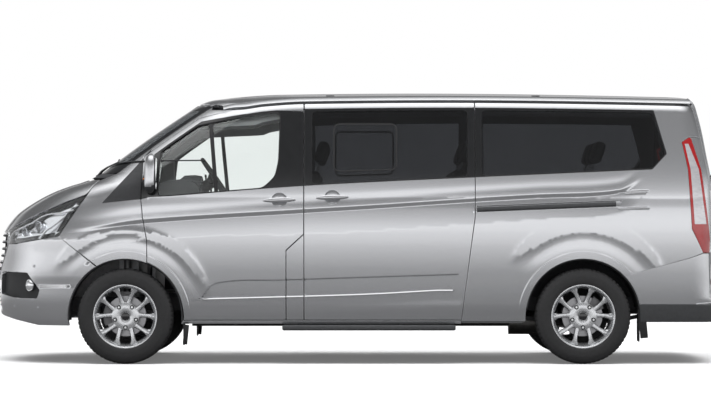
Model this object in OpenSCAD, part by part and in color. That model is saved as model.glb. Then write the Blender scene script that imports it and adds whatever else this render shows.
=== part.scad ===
// Minibus: a front-engined people carrier with two hinged front doors, two sliding side doors,
// a top-hinged tailgate and three rows of seats.
// Millimetres. The nose points to -X, the left side to -Y, and Z = 0 is the ground.
// X = 0 is the middle of the overall length, Y = 0 the middle of the width.

/* [Overall] */
// Distance between the axles
wheelbase = 3300; // [3000:10:3960]
// Nose to the front axle
front_overhang = 1010; // [960:5:1200]
// Rear axle to the tail
rear_overhang = 1029; // [940:5:1235]
// Width over the body sides, without mirrors
body_w = 1986; // [1820:2:2380]
// Ground to the top of the roof
body_h = 1986; // [1800:2:2380]

/* [Body] */
// Thickness of the doors and side walls
door_t = 65; // [50:1:80]
// Thickness of the outer skins: wings, bonnet and bumpers
skin_t = 22; // [15:1:30]
// Thickness of the roof
roof_t = 30; // [20:1:40]
// Gap between neighbouring panels
gap = 6; // [5:0.5:8]
// Thickness of the window glass
glass_t = 5; // [4:0.5:8]
// Height of the windscreen's lower edge
cowl_z = 1379; // [1340:1:1400]
// Slope of the windscreen from the horizontal, in degrees
screen_rake = 35.3; // [33:0.1:38]
// Roof rounding radius along each side
roof_r = 90; // [60:1:110]
// How far the sides lean in between the shoulder and the roof
tumblehome = 124; // [80:1:140]
// Height of the cabin floor
floor_z = 505; // [490:5:530]

/* [Doors] */
// Front axle to the rear edge of the front door
front_door_rear = 1291; // [1240:1:1400]
// Length of the sliding door opening along its top
sliding_door_l = 1234; // [1100:1:1400]
// Height of the doors' lower edge
door_bottom = 315; // [305:1:340]

/* [Wheels] */
// Tyre radius
tyre_r = 345; // [320:1:414]
// Tyre width
tyre_w = 215; // [185:1:235]
// Radius of the rim's flange
rim_r = 231; // [200:1:240]
// Body side to the tyre's outer face
wheel_inset = 17; // [10:1:40]
// Space between the tyre and the wheel arch
arch_gap = 70; // [65:1:90]
// Circle of the wheel nuts, diameter
nut_circle = 160; // [108:1:165]
// Radius of the spindles that carry the wheels
spindle_r = 30; // [20:1:35]

/* [Fittings] */
// Spacing of the roof rack points along the roof
rack_l = 1500; // [1000:10:2000]
// Spacing of the roof rack points across the roof
rack_w = 1300; // [1100:10:1350]
// Radius of the roof rack points' threaded holes
rack_hole_r = 4; // [3:0.5:6]
// Radius of the towing eye sockets
tow_r = 10; // [8:0.5:12]

/* [Hidden] */
$fn = 48;
hw = body_w / 2;
length = front_overhang + wheelbase + rear_overhang;
nose_x = -length / 2;
tail_x = length / 2;
fx = nose_x + front_overhang;
rx = fx + wheelbase;
arch_r = tyre_r + arch_gap;
wheel_y = hw - wheel_inset - tyre_w / 2;
tyre_in = wheel_y - tyre_w / 2;
b_x = fx + front_door_rear;
c_x = b_x + sliding_door_l;
c_low = c_x - 103;
door_front = fx + 118;
bumper_top = 712;
run_gap = 0.05;
seat_gap = 0.4;
frame_t = 45;

// ---- Profiles -------------------------------------------------------------------------------
// Smooth interpolation through [v, value] pairs.
function seg(t, v, i = 0) = (i >= len(t) - 2 || v < t[i + 1][0]) ? i : seg(t, v, i + 1);
function slope(t, i) =
    let (a = max(i - 1, 0), b = min(i + 1, len(t) - 1)) (t[b][1] - t[a][1]) / (t[b][0] - t[a][0]);
function smooth(t, v) =
    let (i = seg(t, v), h = t[i + 1][0] - t[i][0],
         u = (min(max(v, t[0][0]), t[len(t) - 1][0]) - t[i][0]) / h)
    t[i][1] * (1 + 2 * u) * (1 - u) * (1 - u) + h * slope(t, i) * u * (1 - u) * (1 - u)
    + t[i + 1][1] * u * u * (3 - 2 * u) + h * slope(t, i + 1) * u * u * (u - 1);
function ramp(v, a, b) = let (u = min(max((v - a) / (b - a), 0), 1)) u * u * (3 - 2 * u);

header_z = body_h - 94;
cowl_x = nose_x + 780;
header_x = cowl_x + (header_z - cowl_z) / tan(screen_rake);

// Distance of the body's front from the nose, at height z, on the centreline.
nose_table = [[150, 110], [250, 70], [330, 30], [400, 10], [520, 0], [657, 5], [801, 29], [955, 48],
    [1056, 118], [1109, 178], [1184, 298], [1244, 418], [1289, 539], [1325, 660], [cowl_z, 780]];
function nose(z) = z <= cowl_z ? nose_x + smooth(nose_table, z)
    : cowl_x + (z - cowl_z) / tan(screen_rake) - 18 * sin(180 * (z - cowl_z) / (header_z - cowl_z));
// Top of the roof on the centreline.
roof_table = [[header_x, header_z], [header_x + 75, body_h - 65], [header_x + 151, body_h - 50],
    [header_x + 301, body_h - 27], [header_x + 600, body_h - 8], [(header_x + tail_x) / 2, body_h],
    [tail_x - 320, body_h - 27], [tail_x - 227, body_h - 42]];
// The body's tail at height z, on the centreline, above the bumper.
tail_table = [[bumper_top, -33], [body_h - 975, -33], [body_h - 660, -40], [body_h - 464, -75],
    [body_h - 298, -107], [body_h - 178, -137], [body_h - 95, -167], [body_h - 42, -227]];
function tail(z) = tail_x + smooth(tail_table, z);
// Half the body's width at height z, between the axles.
low_table = [[150, 100], [250, 70], [320, 45], [450, 22], [650, 7], [850, 0], [1000, 0], [1120, 6],
    [1200, 16]];
glass_top = body_h - 140;
function half_w(z) = hw - (z <= 1200 ? smooth(low_table, z)
    : 16 + tumblehome * pow((z - 1200) / (glass_top - 1200), 1.3));
// Ahead of round_x the plan section rounds into the nose as a superellipse.
function round_x(z) = z >= cowl_z ? nose(z) + 700
    : z <= 900 ? fx - 40 : fx - 40 + (nose(cowl_z) + 700 - fx + 40) * (z - 900) / (cowl_z - 900);
function round_n(z) = 2.6 + 0.9 * ramp(z, 1000, 1400);
function front_x(y, z) =
    let (n = round_n(z), q = min(abs(y) / half_w(z), 1))
    round_x(z) - (round_x(z) - nose(z)) * pow(1 - pow(q, n), 1 / n);
function fillet(d, r) = d >= r ? 0 : r - sqrt(max(0, r * r - pow(r - max(d, 0), 2)));
// Roof: it bows with the header in plan and falls towards the sides.
function header_bow(y) = front_x(min(abs(y), half_w(header_z) * 0.995), header_z) - nose(header_z);
function roof_crown(x) = 57 * ramp(x, header_x, header_x + 450);
edge_y = half_w(body_h - 60);
function roof_mid(x, y) = smooth(roof_table, max(header_x, x - header_bow(y)));
function edge_z(x) = roof_mid(x, edge_y) - roof_crown(x);
function roof_z(x, y) = roof_mid(x, y) - roof_crown(x) * pow(min(abs(y) / edge_y, 1), 2)
    - fillet(edge_y - abs(y), roof_r);
// Side surface: half-width at any place of the side.
tail_r = 95;
function side_y(x, z) =
    let (n = round_n(z), q = min(max((round_x(z) - x) / (round_x(z) - nose(z)), 0), 1))
    half_w(z) * pow(1 - pow(q, n), 1 / n) - fillet(max(tail(z) - x, 0), tail_r)
    - (x > header_x ? fillet(edge_z(x) - z, roof_r) : 0);
// The seam between roof and side, where the rounding stands at 45 degrees.
seam = roof_r * (1 - cos(45));
function seam_z(x) = edge_z(x) - seam;
// Where the windscreen's side edge lies in the side view.
screen_edge = 0.86;
function pillar_x(z) = front_x(screen_edge * half_w(z), z);
// Belt line: lower edge of the side glass.
belt_table = [[fx + 250, 1213], [fx + 328, 1220], [b_x, 1294], [c_x, 1356], [tail_x - 530, 1413]];
function belt(x) = smooth(belt_table, x);

// ---- Building blocks ------------------------------------------------------------------------
// A closed plate between two grids of points, a outside and b inside.
// The outside faces the cross product of the row direction and the column direction.
module plate(a, b) {
    rows = len(a);
    cols = len(a[0]);
    m = rows * cols;
    pts = concat([for (row = a) each row], [for (row = b) each row]);
    sheet = [for (i = [0:rows - 2]) for (j = [0:cols - 2]) let (p = i * cols + j) each
        [[p, p + cols + 1, p + cols], [p, p + 1, p + cols + 1]]];
    back = [for (f = sheet) [f[2] + m, f[1] + m, f[0] + m]];
    rim = concat([for (i = [0:rows - 1]) i * cols], [for (j = [1:cols - 1]) (rows - 1) * cols + j],
        [for (i = [rows - 2:-1:0]) i * cols + cols - 1], [for (j = [cols - 2:-1:1]) j]);
    walls = [for (i = [0:len(rim) - 1]) let (p = rim[i], q = rim[(i + 1) % len(rim)]) each
        [[p, q, q + m], [p, q + m, p + m]]];
    polyhedron(pts, concat(sheet, back, walls), convexity = 10);
}
function steps(a, b, n) = [for (i = [0:n]) a + (b - a) * i / n];
module both() {
    children();
    mirror([0, 1, 0]) children();
}
// Prism of a side-view outline between two distances from the centre plane, on the left.
module side_prism(outline, y0 = 0, y1 = hw + 50)
    translate([0, -y0, 0]) rotate([90, 0, 0]) linear_extrude(y1 - y0) polygon(outline);
// Prism of a rear-view outline [y, z] between two places along the body.
module rear_prism(outline, x0, x1)
    translate([x0, 0, 0]) rotate([90, 0, 90]) linear_extrude(x1 - x0) polygon(outline);
// Cylinder across the body, on the left.
module cross_bar(r, x, z, y0, y1) translate([x, -y0, z]) rotate([90, 0, 0]) cylinder(r = r, h = y1 - y0);
module block(x0, x1, y0, y1, z0, z1) translate([x0, y0, z0]) cube([x1 - x0, y1 - y0, z1 - z0]);

// ---- Side wall ------------------------------------------------------------------------------
// The stations run along the side. Ahead of the B pillar they fan out along the windscreen.
fan_end = b_x - 120;
fan = 11;
side_xs = concat(steps(nose_x + 480, fan_end, fan), steps(b_x + 20, tail_x - 420, 7),
    [for (d = [300, 240, 200, 165, 135, 105, 75, 45, 15]) tail_x - d]);
last = len(side_xs) - 1;
function fan_start(z) = max(side_xs[0], nose(z) + 110);
function station(i, z) = i >= fan ? min(side_xs[i], tail(z) - 2 - 13 * (last - i) / 9)
    : fan_start(z) + (side_xs[i] - side_xs[0]) / (fan_end - side_xs[0]) * (fan_end - fan_start(z));
side_zs = [250, 330, 450, 650, 850, 1000, 1100, 1200, 1290, 1400, 1520, 1640, 1750];
side_drops = [105, 80, 62, 46, 32, 20, 8];
function side_levels(x) = concat([for (z = side_zs) z * min(1, (seam_z(x) - 130) / side_zs[12])],
    [for (d = side_drops) seam_z(x) - d]);
// Left wall between two stations, t thick, starting off below the surface.
module side_wall(i0, i1, off, t) {
    grid = [for (i = [i0:i1]) let (x = side_xs[i]) [for (z = side_levels(x))
        let (px = station(i, z)) [px, z, side_y(px, z)]]];
    plate([for (row = grid) [for (p = row) [p[0], off - p[2], p[1]]]],
        [for (row = grid) [for (p = row) [p[0], off + t - p[2], p[1]]]]);
}

// ---- Side-view outlines ---------------------------------------------------------------------
pillar_gap = 46;
door_top = 14;
function pillar_line(inset, z0, z1, n) = [for (z = steps(z0, z1, n)) [pillar_x(z) + inset, z]];
function seam_line(x0, x1, n, drop) = [for (x = steps(x0, x1, n)) [x, seam_z(x) - drop]];
pillar_z0 = cowl_z + (door_front - cowl_x - 203) * tan(screen_rake) + 14;
roof_turn = header_x + 215;
pillar_z1 = seam_z(roof_turn) - 66;
door_outline = concat(
    [[door_front, 1188], [door_front + 12, 1056], [door_front + 42, 891], [door_front + 47, tyre_r],
     [door_front + 47, door_bottom], [b_x - 135, door_bottom], [b_x - 135, 822], [b_x - 8, 938],
     [b_x - 8, seam_z(b_x) - door_top]],
    seam_line(b_x - 200, roof_turn + 60, 4, door_top),
    pillar_line(pillar_gap, pillar_z1, pillar_z0, 5));
glass_drop = 68;
front_glass_outline = concat(
    [[door_front + 122, belt(door_front + 122)], [b_x - 300, belt(b_x - 300)],
     [b_x - 215, belt(b_x) + 60], [b_x - 190, belt(b_x) + 170],
     [b_x - 178, seam_z(b_x - 178) - glass_drop]],
    seam_line(b_x - 300, roof_turn + 150, 3, glass_drop),
    pillar_line(pillar_gap + 75, pillar_z1 - 52, pillar_z0 + 40, 4));
slide_outline = concat(
    [[b_x, door_bottom], [c_low, door_bottom], [c_x - 6, 1075], [c_x - 6, seam_z(c_x) - door_top]],
    seam_line(c_x - 300, b_x + 300, 2, door_top), [[b_x, seam_z(b_x) - door_top]]);
slide_glass_outline = concat(
    [for (x = steps(b_x + 55, c_x - 55, 2)) [x, belt(x)]],
    seam_line(c_x - 55, b_x + 55, 2, glass_drop));
quarter_glass_outline = concat(
    [for (x = steps(c_x + 45, tail_x - 530, 2)) [x, belt(x)]],
    [[tail_x - 432, belt(tail_x - 430) + 105], [tail_x - 520, seam_z(tail_x - 520) - glass_drop]],
    seam_line(tail_x - 760, c_x + 45, 2, glass_drop));
bumper_seam = [[tail_x - 770, 626], [tail_x - 271, 764], [tail_x - 165, 802], [tail_x + 10, 802]];
quarter_outline = concat(
    [[c_low + seat_gap, door_bottom - 10], [rx - 200, door_bottom - 10], bumper_seam[0],
     bumper_seam[1], bumper_seam[2], bumper_seam[3],
     [tail_x + 10, body_h - 200], [tail_x - 240, seam_z(tail_x - 240) - door_top]],
    seam_line(tail_x - 420, c_x + 30, 4, door_top),
    [[c_x - 5.6, seam_z(c_x) - door_top], [c_x - 5.6, 1075]]);
lamp_rear_outline = [[tail_x - 264, 1636], [tail_x - 316, 1604], [tail_x - 276, 1404],
    [tail_x - 252, 975], [tail_x - 168, 801], [tail_x + 20, 801], [tail_x + 20, 1636]];
wing_seam_low = [fx - 160, 675];
lamp_low = [nose_x + 527, 921];
lamp_high = [nose_x + 731, 1221];
bonnet_corner = [nose_x + 789, 1311];
wing_outline = concat(
    [[fx - 100, tyre_r], wing_seam_low, lamp_low, lamp_high, bonnet_corner,
     [nose_x + 825, 1331]], pillar_line(glass_t * 1.6 + 4 * seat_gap, cowl_z - 4, header_z - 30, 6),
    [[header_x + 120, seam_z(header_x + 120) - door_top],
     [roof_turn + 60, seam_z(roof_turn + 60) - door_top]],
    pillar_line(pillar_gap - gap, pillar_z1 + 4, pillar_z0 + 3, 5),
    [[door_front - gap, 1188], [door_front + 12 - gap, 1056], [door_front + 42 - gap, 891],
     [door_front + 47 - gap, tyre_r]]);

// ---- Body shell -----------------------------------------------------------------------------
module wheel_cut(x, r = arch_r, y0 = 0) cross_bar(r, x, tyre_r, y0, hw + 40);

module front_wings() color("silver") both() difference() {
    intersection() {
        side_wall(0, 8, 0, door_t);
        side_prism(wing_outline);
    }
    pocket = [[nose_x, 0], [door_front - 60, 0], [door_front - 75, 1188], [door_front - 120, 1390],
        [nose_x + 900, 1300], [nose_x + 850, 1310], [nose_x, 1310]];
    intersection() {
        side_wall(0, 6, skin_t, 200);
        side_prism(pocket);
    }
    wheel_cut(fx);
}
function fan_angles(wide) = [for (q = [1, 0.9, 0.78, 0.62, 0.42, 0.2, 0, -0.2, -0.42, -0.62, -0.78, -0.9, -1])
    q * wide];
// Skin across the nose between two heights, t thick, starting off below the surface.
module nose_skin(z0, z1, n, wide, t, off = 0, drop = 0, depth = 0) {
    zs = steps(z0, z1, n);
    a = off * 0.6;
    b = t * 0.6;
    plate([for (w = fan_angles(wide)) [for (z = zs) nose_point(w, z, a) - [0, 0, a + drop]]],
        [for (w = fan_angles(wide)) [for (z = zs) nose_point(w, z, b) - [0, 0, b + depth]]]);
}
function nose_point(a, z, off) =
    let (p = 2 / round_n(z), s = a < 0 ? -1 : 1)
    [round_x(z) - (round_x(z) - nose(z) - off) * pow(cos(a), p),
     s * (half_w(z) - off) * pow(abs(sin(a)), p), z];
bonnet_outline = [[nose_x - 50, 957], [nose_x + 100, 962], [nose_x + 212, 1014], [nose_x + 370, 1088],
    [nose_x + 573, 1172], [nose_x + 725, 1223], [nose_x + 783, 1312], [nose_x + 820, 1338],
    [nose_x + 820, 1500], [nose_x - 50, 1500]];
module bonnet() color("silver") intersection() {
    nose_skin(930, cowl_z - 44, 10, 78, skin_t);
    both() side_prism(bonnet_outline, -1);
}
module cowl_panel() color("dimgray") intersection() {
    nose_skin(cowl_z - 36, cowl_z - seat_gap, 2, 66, skin_t);
    cowl_edge = [[nose_x, 1250], [nose_x + 818, 1250], [nose_x + 818, 1329],
        [pillar_x(cowl_z) - 4, cowl_z + 8], [nose_x, 1500]];
    both() side_prism(cowl_edge, -1);
}
module windscreen() color("lightblue") {
    zs = steps(cowl_z, header_z - 4, 8);
    qs = [for (q = [1, 0.93, 0.82, 0.65, 0.4, 0, -0.4, -0.65, -0.82, -0.93, -1]) q * screen_edge];
    plate([for (q = qs) [for (z = zs) [front_x(q * half_w(z), z), q * half_w(z), z]]],
        [for (q = qs) [for (z = zs) [front_x(q * half_w(z), z) + glass_t * 1.6, q * half_w(z), z]]]);
}
roof_end = tail_x - 240;
roof_edge = edge_y - seam - gap / 2;
module roof_plate(us, vs, top, thick) {
    function spot(u, v) =
        let (y = v * roof_edge, x0 = front_x(y, header_z) + 5, x = x0 + (roof_end - x0) * u)
        [x, y, roof_z(x, y)];
    plate([for (u = us) [for (v = vs) spot(u, v) - [0, 0, top]]],
        [for (u = us) [for (v = vs) spot(u, v)
            - [0, 0, top + (abs(v) == 1 || u == 1 || u == 0 ? min(7, thick) : thick)]]]);
}
roof_us = [0, 0.02, 0.05, 0.09, 0.15, 0.22, 0.4, 0.6, 0.8, 0.93, 0.98, 1];
roof_vs = [-1, -0.97, -0.92, -0.8, -0.45, 0, 0.45, 0.8, 0.92, 0.97, 1];
module rack_spots() for (x = [-1, 1], y = [-1, 1])
    translate([c_x - 300 + x * rack_l / 2, y * rack_w / 2, 0]) children();
rack_z = body_h - 120;
module roof_panel() color("silver") difference() {
    union() {
        roof_plate(roof_us, roof_vs, 0, roof_t);
        rack_spots() translate([0, 0, rack_z]) cylinder(r = 16, h = 90);
    }
    rack_spots() translate([0, 0, rack_z - 1]) cylinder(r = rack_hole_r, h = 200);
}
front_opening = concat([[b_x - 780, floor_z - 15], [b_x - 50, floor_z - 15], [b_x - 50, seam_z(b_x) - 110]],
    seam_line(b_x - 300, roof_turn + 180, 2, 110),
    pillar_line(pillar_gap + 75, pillar_z1 - 90, pillar_z0 + 30, 3), [[fx + 240, 900]]);
module side_frames() {
    both() difference() {
        intersection() {
            side_wall(0, last - 5, door_t + seat_gap, frame_t);
            frame_outline = concat(
                [[fx + 120, 1180], [fx + 120, 800], [b_x - 850, floor_z + 60], [b_x - 850, 296],
                 [tail_x - 730, 296], [tail_x - 730, 640], [tail_x - 340, 860],
                 [tail_x - 340, seam_z(tail_x - 340) - 45]],
                seam_line(tail_x - 600, roof_turn + 60, 6, 45),
                [[roof_turn, seam_z(roof_turn) - 62]],
                pillar_line(8, pillar_z1 - 16, pillar_z0 - 60, 4));
            side_prism(frame_outline);
        }
        side_prism(front_opening);
        side_prism(concat([[b_x + 55, floor_z - 15], [c_x - 60, floor_z - 15], [c_x - 60, seam_z(c_x) - 110]],
            seam_line(c_x - 400, b_x + 55, 2, 110)));
        side_prism(concat([[c_x + 60, 760], [tail_x - 730, 800], [tail_x - 470, 960],
            [tail_x - 440, 1500], [tail_x - 520, seam_z(tail_x - 500) - 110]],
            seam_line(tail_x - 700, c_x + 60, 2, 110)));
        wheel_cut(rx, arch_r + 20);
    }
}
frame_split = b_x + 60;
module body_frame_front() color("slategray") intersection() {
    side_frames();
    block(nose_x, frame_split, -hw, hw, 0, body_h);
}
module body_frame_rear() color("slategray") intersection() {
    side_frames();
    block(frame_split + seat_gap, tail_x, -hw, hw, 0, body_h);
}
module roof_frame() color("slategray") difference() {
    roof_plate([0.02, 0.05, 0.09, 0.15, 0.22, 0.4, 0.6, 0.8, 0.93], [-0.92, -0.8, -0.45, 0, 0.45, 0.8, 0.92],
        roof_t + seat_gap, 38);
    for (x = steps(header_x + 220, tail_x - 1060, 4))
        block(x + 60, x + (tail_x - header_x - 1280) / 4, -roof_edge * 0.85, roof_edge * 0.85, 1500, 2200);
    rack_spots() translate([0, 0, rack_z - 20]) cylinder(r = 17, h = 200);
    both() side_prism([[header_x - 100, 1500], [tail_x, 1500], [tail_x, 2200], [header_x - 100, 2200]],
        roof_edge * 0.9, hw);
}
module quarter_panels() color("silver") both() difference() {
    intersection() {
        side_wall(fan + 3, last, 0, door_t);
        side_prism(quarter_outline);
    }
    side_prism(quarter_glass_outline);
    side_prism(lamp_rear_outline);
    wheel_cut(rx);
    tail_opening();
}
tail_side = 97;
function tail_half(z) = half_w(z) - tail_side;
module gate_prism(inset, x0 = tail_x - 400) rear_prism(concat(
    [for (z = gate_zs) [tail_half(z) - inset, z]],
    [for (k = [len(gate_zs) - 1:-1:0]) [inset - tail_half(gate_zs[k]), gate_zs[k]]]), x0, tail_x + 60);
module tail_opening() {
    gate_prism(0, tail_x - 330);
    block(tail_x - 330, tail_x + 60, -tail_half(bumper_top), tail_half(bumper_top), 600, gate_zs[0]);
    block(tail_x - 330, tail_x + 60, -tail_half(body_h - 56), tail_half(body_h - 56),
        body_h - 56.01, body_h);
}
module tail_lamps() color("firebrick") both() difference() {
    intersection() {
        side_wall(fan + 6, last, 0, door_t - 8);
        side_prism([for (p = lamp_rear_outline) [p[0] + seat_gap, p[1]]]);
        block(0, tail_x + 50, -hw - 50, 0, 802 + seat_gap, 1636 - seat_gap);
    }
    tail_opening();
}
module front_bumper() color("silver") difference() {
    zs = [262, 330, 400, 460, 520, 600, 680, 760, 840, 915, 960];
    as = [76, 70, 63, 55, 46, 36, 25, 13, 0];
    angles = concat(as, [for (i = [7:-1:0]) -as[i]]);
    intersection() {
        plate([for (a = angles) [for (z = zs) nose_point(a, z, 0)]],
            [for (a = angles) [for (z = zs) nose_point(a, z, skin_t)]]);
        both() side_prism([[nose_x - 50, 352], [nose_x + 30, 345], [nose_x + 370, 274],
            [fx - 395, 262], [fx - 100, tyre_r], wing_seam_low + [-seat_gap, 0],
            lamp_low + [-seat_gap, -seat_gap], [nose_x + 212, 870], [nose_x - 50, 862]], -1);
    }
    both() wheel_cut(fx);
    grille_hole(0);
    eye_hole(nose_x - 50, rail_y);
}
// Hole in a bumper, in line with the towing eye's socket behind it.
module eye_hole(x, y) translate([x, y, floor_z - 80]) rotate([0, 90, 0]) cylinder(r = tow_r + 6, h = 400);
module grille_hole(d) rear_prism([[-520 + d, 960 + d], [-560 + d, 870], [-420 + d, 640 + d],
    [420 - d, 640 + d], [560 - d, 870], [520 - d, 960 + d]], nose_x - 60, nose_x + 400);
module grille() color("black") {
    intersection() {
        plate_rows = [635, 700, 760, 830, 890, 950];
        as = [50, 40, 30, 20, 10, 0];
        angles = concat(as, [for (i = [4:-1:0]) -as[i]]);
        plate([for (a = angles) [for (z = plate_rows) nose_point(a, z, 4)]],
            [for (a = angles) [for (z = plate_rows) nose_point(a, z, 26)]]);
        grille_hole(seat_gap);
    }
}
module headlamps() color("whitesmoke") both() intersection() {
    zs = [850, 900, 950, 1000, 1050, 1100, 1150, 1200, 1225];
    plate([for (a = [25, 33, 41, 49, 57, 65, 72, 78]) [for (z = zs)
        let (p = nose_point(a, z, 2)) [p[0], -p[1], p[2]]]],
        [for (a = [25, 33, 41, 49, 57, 65, 72, 78]) [for (z = zs)
        let (p = nose_point(a, z, 92)) [p[0], -p[1], p[2]]]]);
    side_prism([[nose_x - 50, 862 + seat_gap], [nose_x + 212, 870 + seat_gap],
        lamp_low + [-seat_gap, seat_gap], lamp_high + [-6, -7],
        [nose_x + 573, 1163], [nose_x + 370, 1079], [nose_x + 212, 1005], [nose_x + 90, 955],
        [nose_x - 50, 950]], 565, hw + 50);
}
bumper_r = 150;
bumper_zs = [303, 360, 431, 434, 560, bumper_top, 801];
bumper_outs = [0, 0, 0, -20, -30, -34, -35];
function bumper_flank(x, i, t) = [x, half_w(bumper_zs[i]) - t, bumper_zs[i]];
function bumper_corner(a, i, t) = [tail_x + bumper_outs[i] - bumper_r + (bumper_r - t) * cos(a),
    half_w(bumper_zs[i]) - bumper_r + (bumper_r - t) * sin(a), bumper_zs[i]];
function bumper_half(t) = concat(
    [for (x = [720, 560, 400, 250]) [for (i = [0:6]) bumper_flank(tail_x - x, i, t)]],
    [for (a = [90, 75, 60, 45, 30, 15, 0]) [for (i = [0:6]) bumper_corner(a, i, t)]]);
function around(h) = concat([for (row = h) [for (p = row) [p[0], -p[1], p[2]]]],
    [for (k = [len(h) - 1:-1:0]) h[k]]);
module rear_bumper() color("silver") difference() {
    plate(around(bumper_half(0)), around(bumper_half(40)));
    both() wheel_cut(rx);
    both() side_prism([bumper_seam[0] - [0, seat_gap], bumper_seam[1] - [0, seat_gap],
        bumper_seam[2] - [0, seat_gap], bumper_seam[3] - [0, seat_gap], [tail_x + 10, 1000],
        [tail_x - 770, 1000]], -1);
    intersection() {
        tail_opening();
        block(tail_x - 400, tail_x + 60, -hw, hw, bumper_top, 1000);
    }
    eye_hole(tail_x - 250, -rail_y);
}

// ---- Doors and glass ------------------------------------------------------------------------
front_door_t = door_t - 6;
module front_door() color("silver") difference() {
    intersection() {
        side_wall(0, fan + 2, 0, front_door_t);
        side_prism(door_outline);
    }
    side_prism(front_glass_outline);
    // The inner edge at the rear steps back, so that it swings clear of the sliding door.
    intersection() {
        side_wall(fan - 3, fan + 3, 24, 200);
        side_prism([[b_x - 34, 100], [b_x + 20, 100], [b_x + 20, body_h], [b_x - 34, body_h]]);
    }
    intersection() {
        side_wall(0, fan + 3, 20, 200);
        side_prism(concat(seam_line(b_x, roof_turn + 60, 4, 50),
            [[roof_turn, seam_z(roof_turn) - 30], [roof_turn, body_h], [b_x, body_h]]));
    }
    // So does the edge along the windscreen pillar, which swings past the body frame.
    intersection() {
        side_wall(0, fan, 24, 200);
        side_prism(concat([[door_front - 20, pillar_z0 - 130], [door_front + 118, pillar_z0 - 130]],
            pillar_line(pillar_gap + 92, pillar_z0 - 20, pillar_z0 + 160, 4),
            pillar_line(pillar_gap - 30, pillar_z0 + 160, pillar_z0 - 20, 4)));
    }
    wheel_cut(fx, arch_r + gap);
}
module inset_pane(outline, i0, i1, off) intersection() {
    side_wall(i0, i1, off, glass_t);
    side_prism(outline);
}
module front_door_glass() color("lightblue") inset_pane(front_glass_outline, 0, fan + 2, 14);
module sliding_door() color("silver") difference() {
    intersection() {
        side_wall(fan - 2, fan + 7, 0, door_t);
        side_prism(slide_outline);
    }
    side_prism(slide_glass_outline);
}
module side_windows() color("dimgray") both() {
    inset_pane(slide_glass_outline, fan - 1, fan + 6, 6);
    inset_pane(quarter_glass_outline, fan + 3, last - 5, 6);
}
module lower_side_panels() color("silver") both() {
    // Fixed panel between the doors' lower halves.
    intersection() {
        side_wall(fan - 4, fan + 2, 0, front_door_t);
        side_prism([[b_x - 129, door_bottom], [b_x - seat_gap, door_bottom], [b_x - seat_gap, 932],
            [b_x - 129, 819]]);
    }
    // Sill below the doors.
    difference() {
        intersection() {
            side_wall(4, fan + 8, 0, door_t);
            side_prism([[fx + 300, 285], [c_low - seat_gap, 285], [c_low - seat_gap, door_bottom - 6],
                [fx + 300, door_bottom - 6]]);
        }
        wheel_cut(fx);
    }
}
mirror_x = fx + 191;
module door_mirror() color("silver") {
    hull() {
        for (z = [1250, 1490]) translate([mirror_x, -hw - 118, z]) sphere(r = 24, $fn = 16);
        for (z = [1270, 1470]) translate([mirror_x + 4, -hw - 8, z]) sphere(r = 30, $fn = 16);
        for (z = [1262, 1478]) translate([mirror_x - 34, -hw - 62, z]) sphere(r = 16, $fn = 16);
    }
    // The arm reaches the door's skin.
    block(mirror_x - 30, mirror_x + 32, -hw - 40, -side_y(mirror_x + 32, 1212) + seat_gap, 1212, 1262);
}

// ---- Tailgate -------------------------------------------------------------------------------
gate_zs = [bumper_top + 8, 900, body_h - 975, 1180, body_h - 660, body_h - 464, body_h - 298,
    body_h - 178, body_h - 120, body_h - 84, body_h - 56];
function gate_depth(z) = z > body_h - 70 ? 10 : z > body_h - 100 ? 28 : door_t;
module gate_solid(off, t) {
    outer = [for (z = gate_zs) [tail(z) - off, z]];
    inner = [for (k = [len(gate_zs) - 1:-1:0]) let (z = gate_zs[k])
        [tail(z) - off - min(t, gate_depth(z)), z]];
    translate([0, hw, 0]) rotate([90, 0, 0]) linear_extrude(body_w) polygon(concat(outer, inner));
}
module gate_window_prism() rear_prism([[-640, 1318], [640, 1318], [668, 1400], [600, 1770],
    [-600, 1770], [-668, 1400]], tail_x - 400, tail_x + 60);
module tailgate() color("silver") difference() {
    intersection() {
        gate_solid(0, door_t);
        gate_prism(gap);
    }
    gate_window_prism();
}
module tailgate_glass() color("dimgray") intersection() {
    gate_solid(8, glass_t);
    gate_window_prism();
}

// ---- Floor, bulkhead and running gear -------------------------------------------------------
dash_x = fx + 190;
floor_half = half_w(floor_z - 30) - door_t - frame_t - 2 * seat_gap - 1;
module floor_pan() color("dimgray") difference() {
    union() {
        block(dash_x, tail_x - 100, -floor_half, floor_half, floor_z - 30, floor_z);
        // Wheel houses over the rear wheels.
        both() difference() {
            cross_bar(arch_r + 20, rx, tyre_r, 560, floor_half);
            cross_bar(arch_r, rx, tyre_r, 590, floor_half + 10);
        }
    }
    both() cross_bar(arch_r, rx, tyre_r, 590, floor_half + 10);
    both() cross_bar(arch_r, fx, tyre_r, 565, floor_half + 10);
    block(rx - 700, rx + 700, -1000, 1000, -200, floor_z - 30.01);
}
module bulkhead() color("dimgray") difference() {
    block(dash_x - 26, dash_x - seat_gap, -floor_half + 42, floor_half - 42,
        floor_z - 30 + seat_gap, 1290);
    both() cross_bar(arch_r + 22, fx, tyre_r, 500, 1000);
}
module wheel_arch_liners() color("black") both() for (x = [fx, rx]) difference() {
    cross_bar(arch_r - seat_gap, x, tyre_r, x == fx ? 750 : 600, hw - 30);
    cross_bar(arch_r - 9, x, tyre_r, 590, hw);
    block(x - 600, x + 600, -hw - 10, 0, -200, tyre_r - (x == fx ? 30 : -60));
}
rail_y = 450;
rail_front = nose_x + 215;
rail_rear = tail_x - 130;
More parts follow.
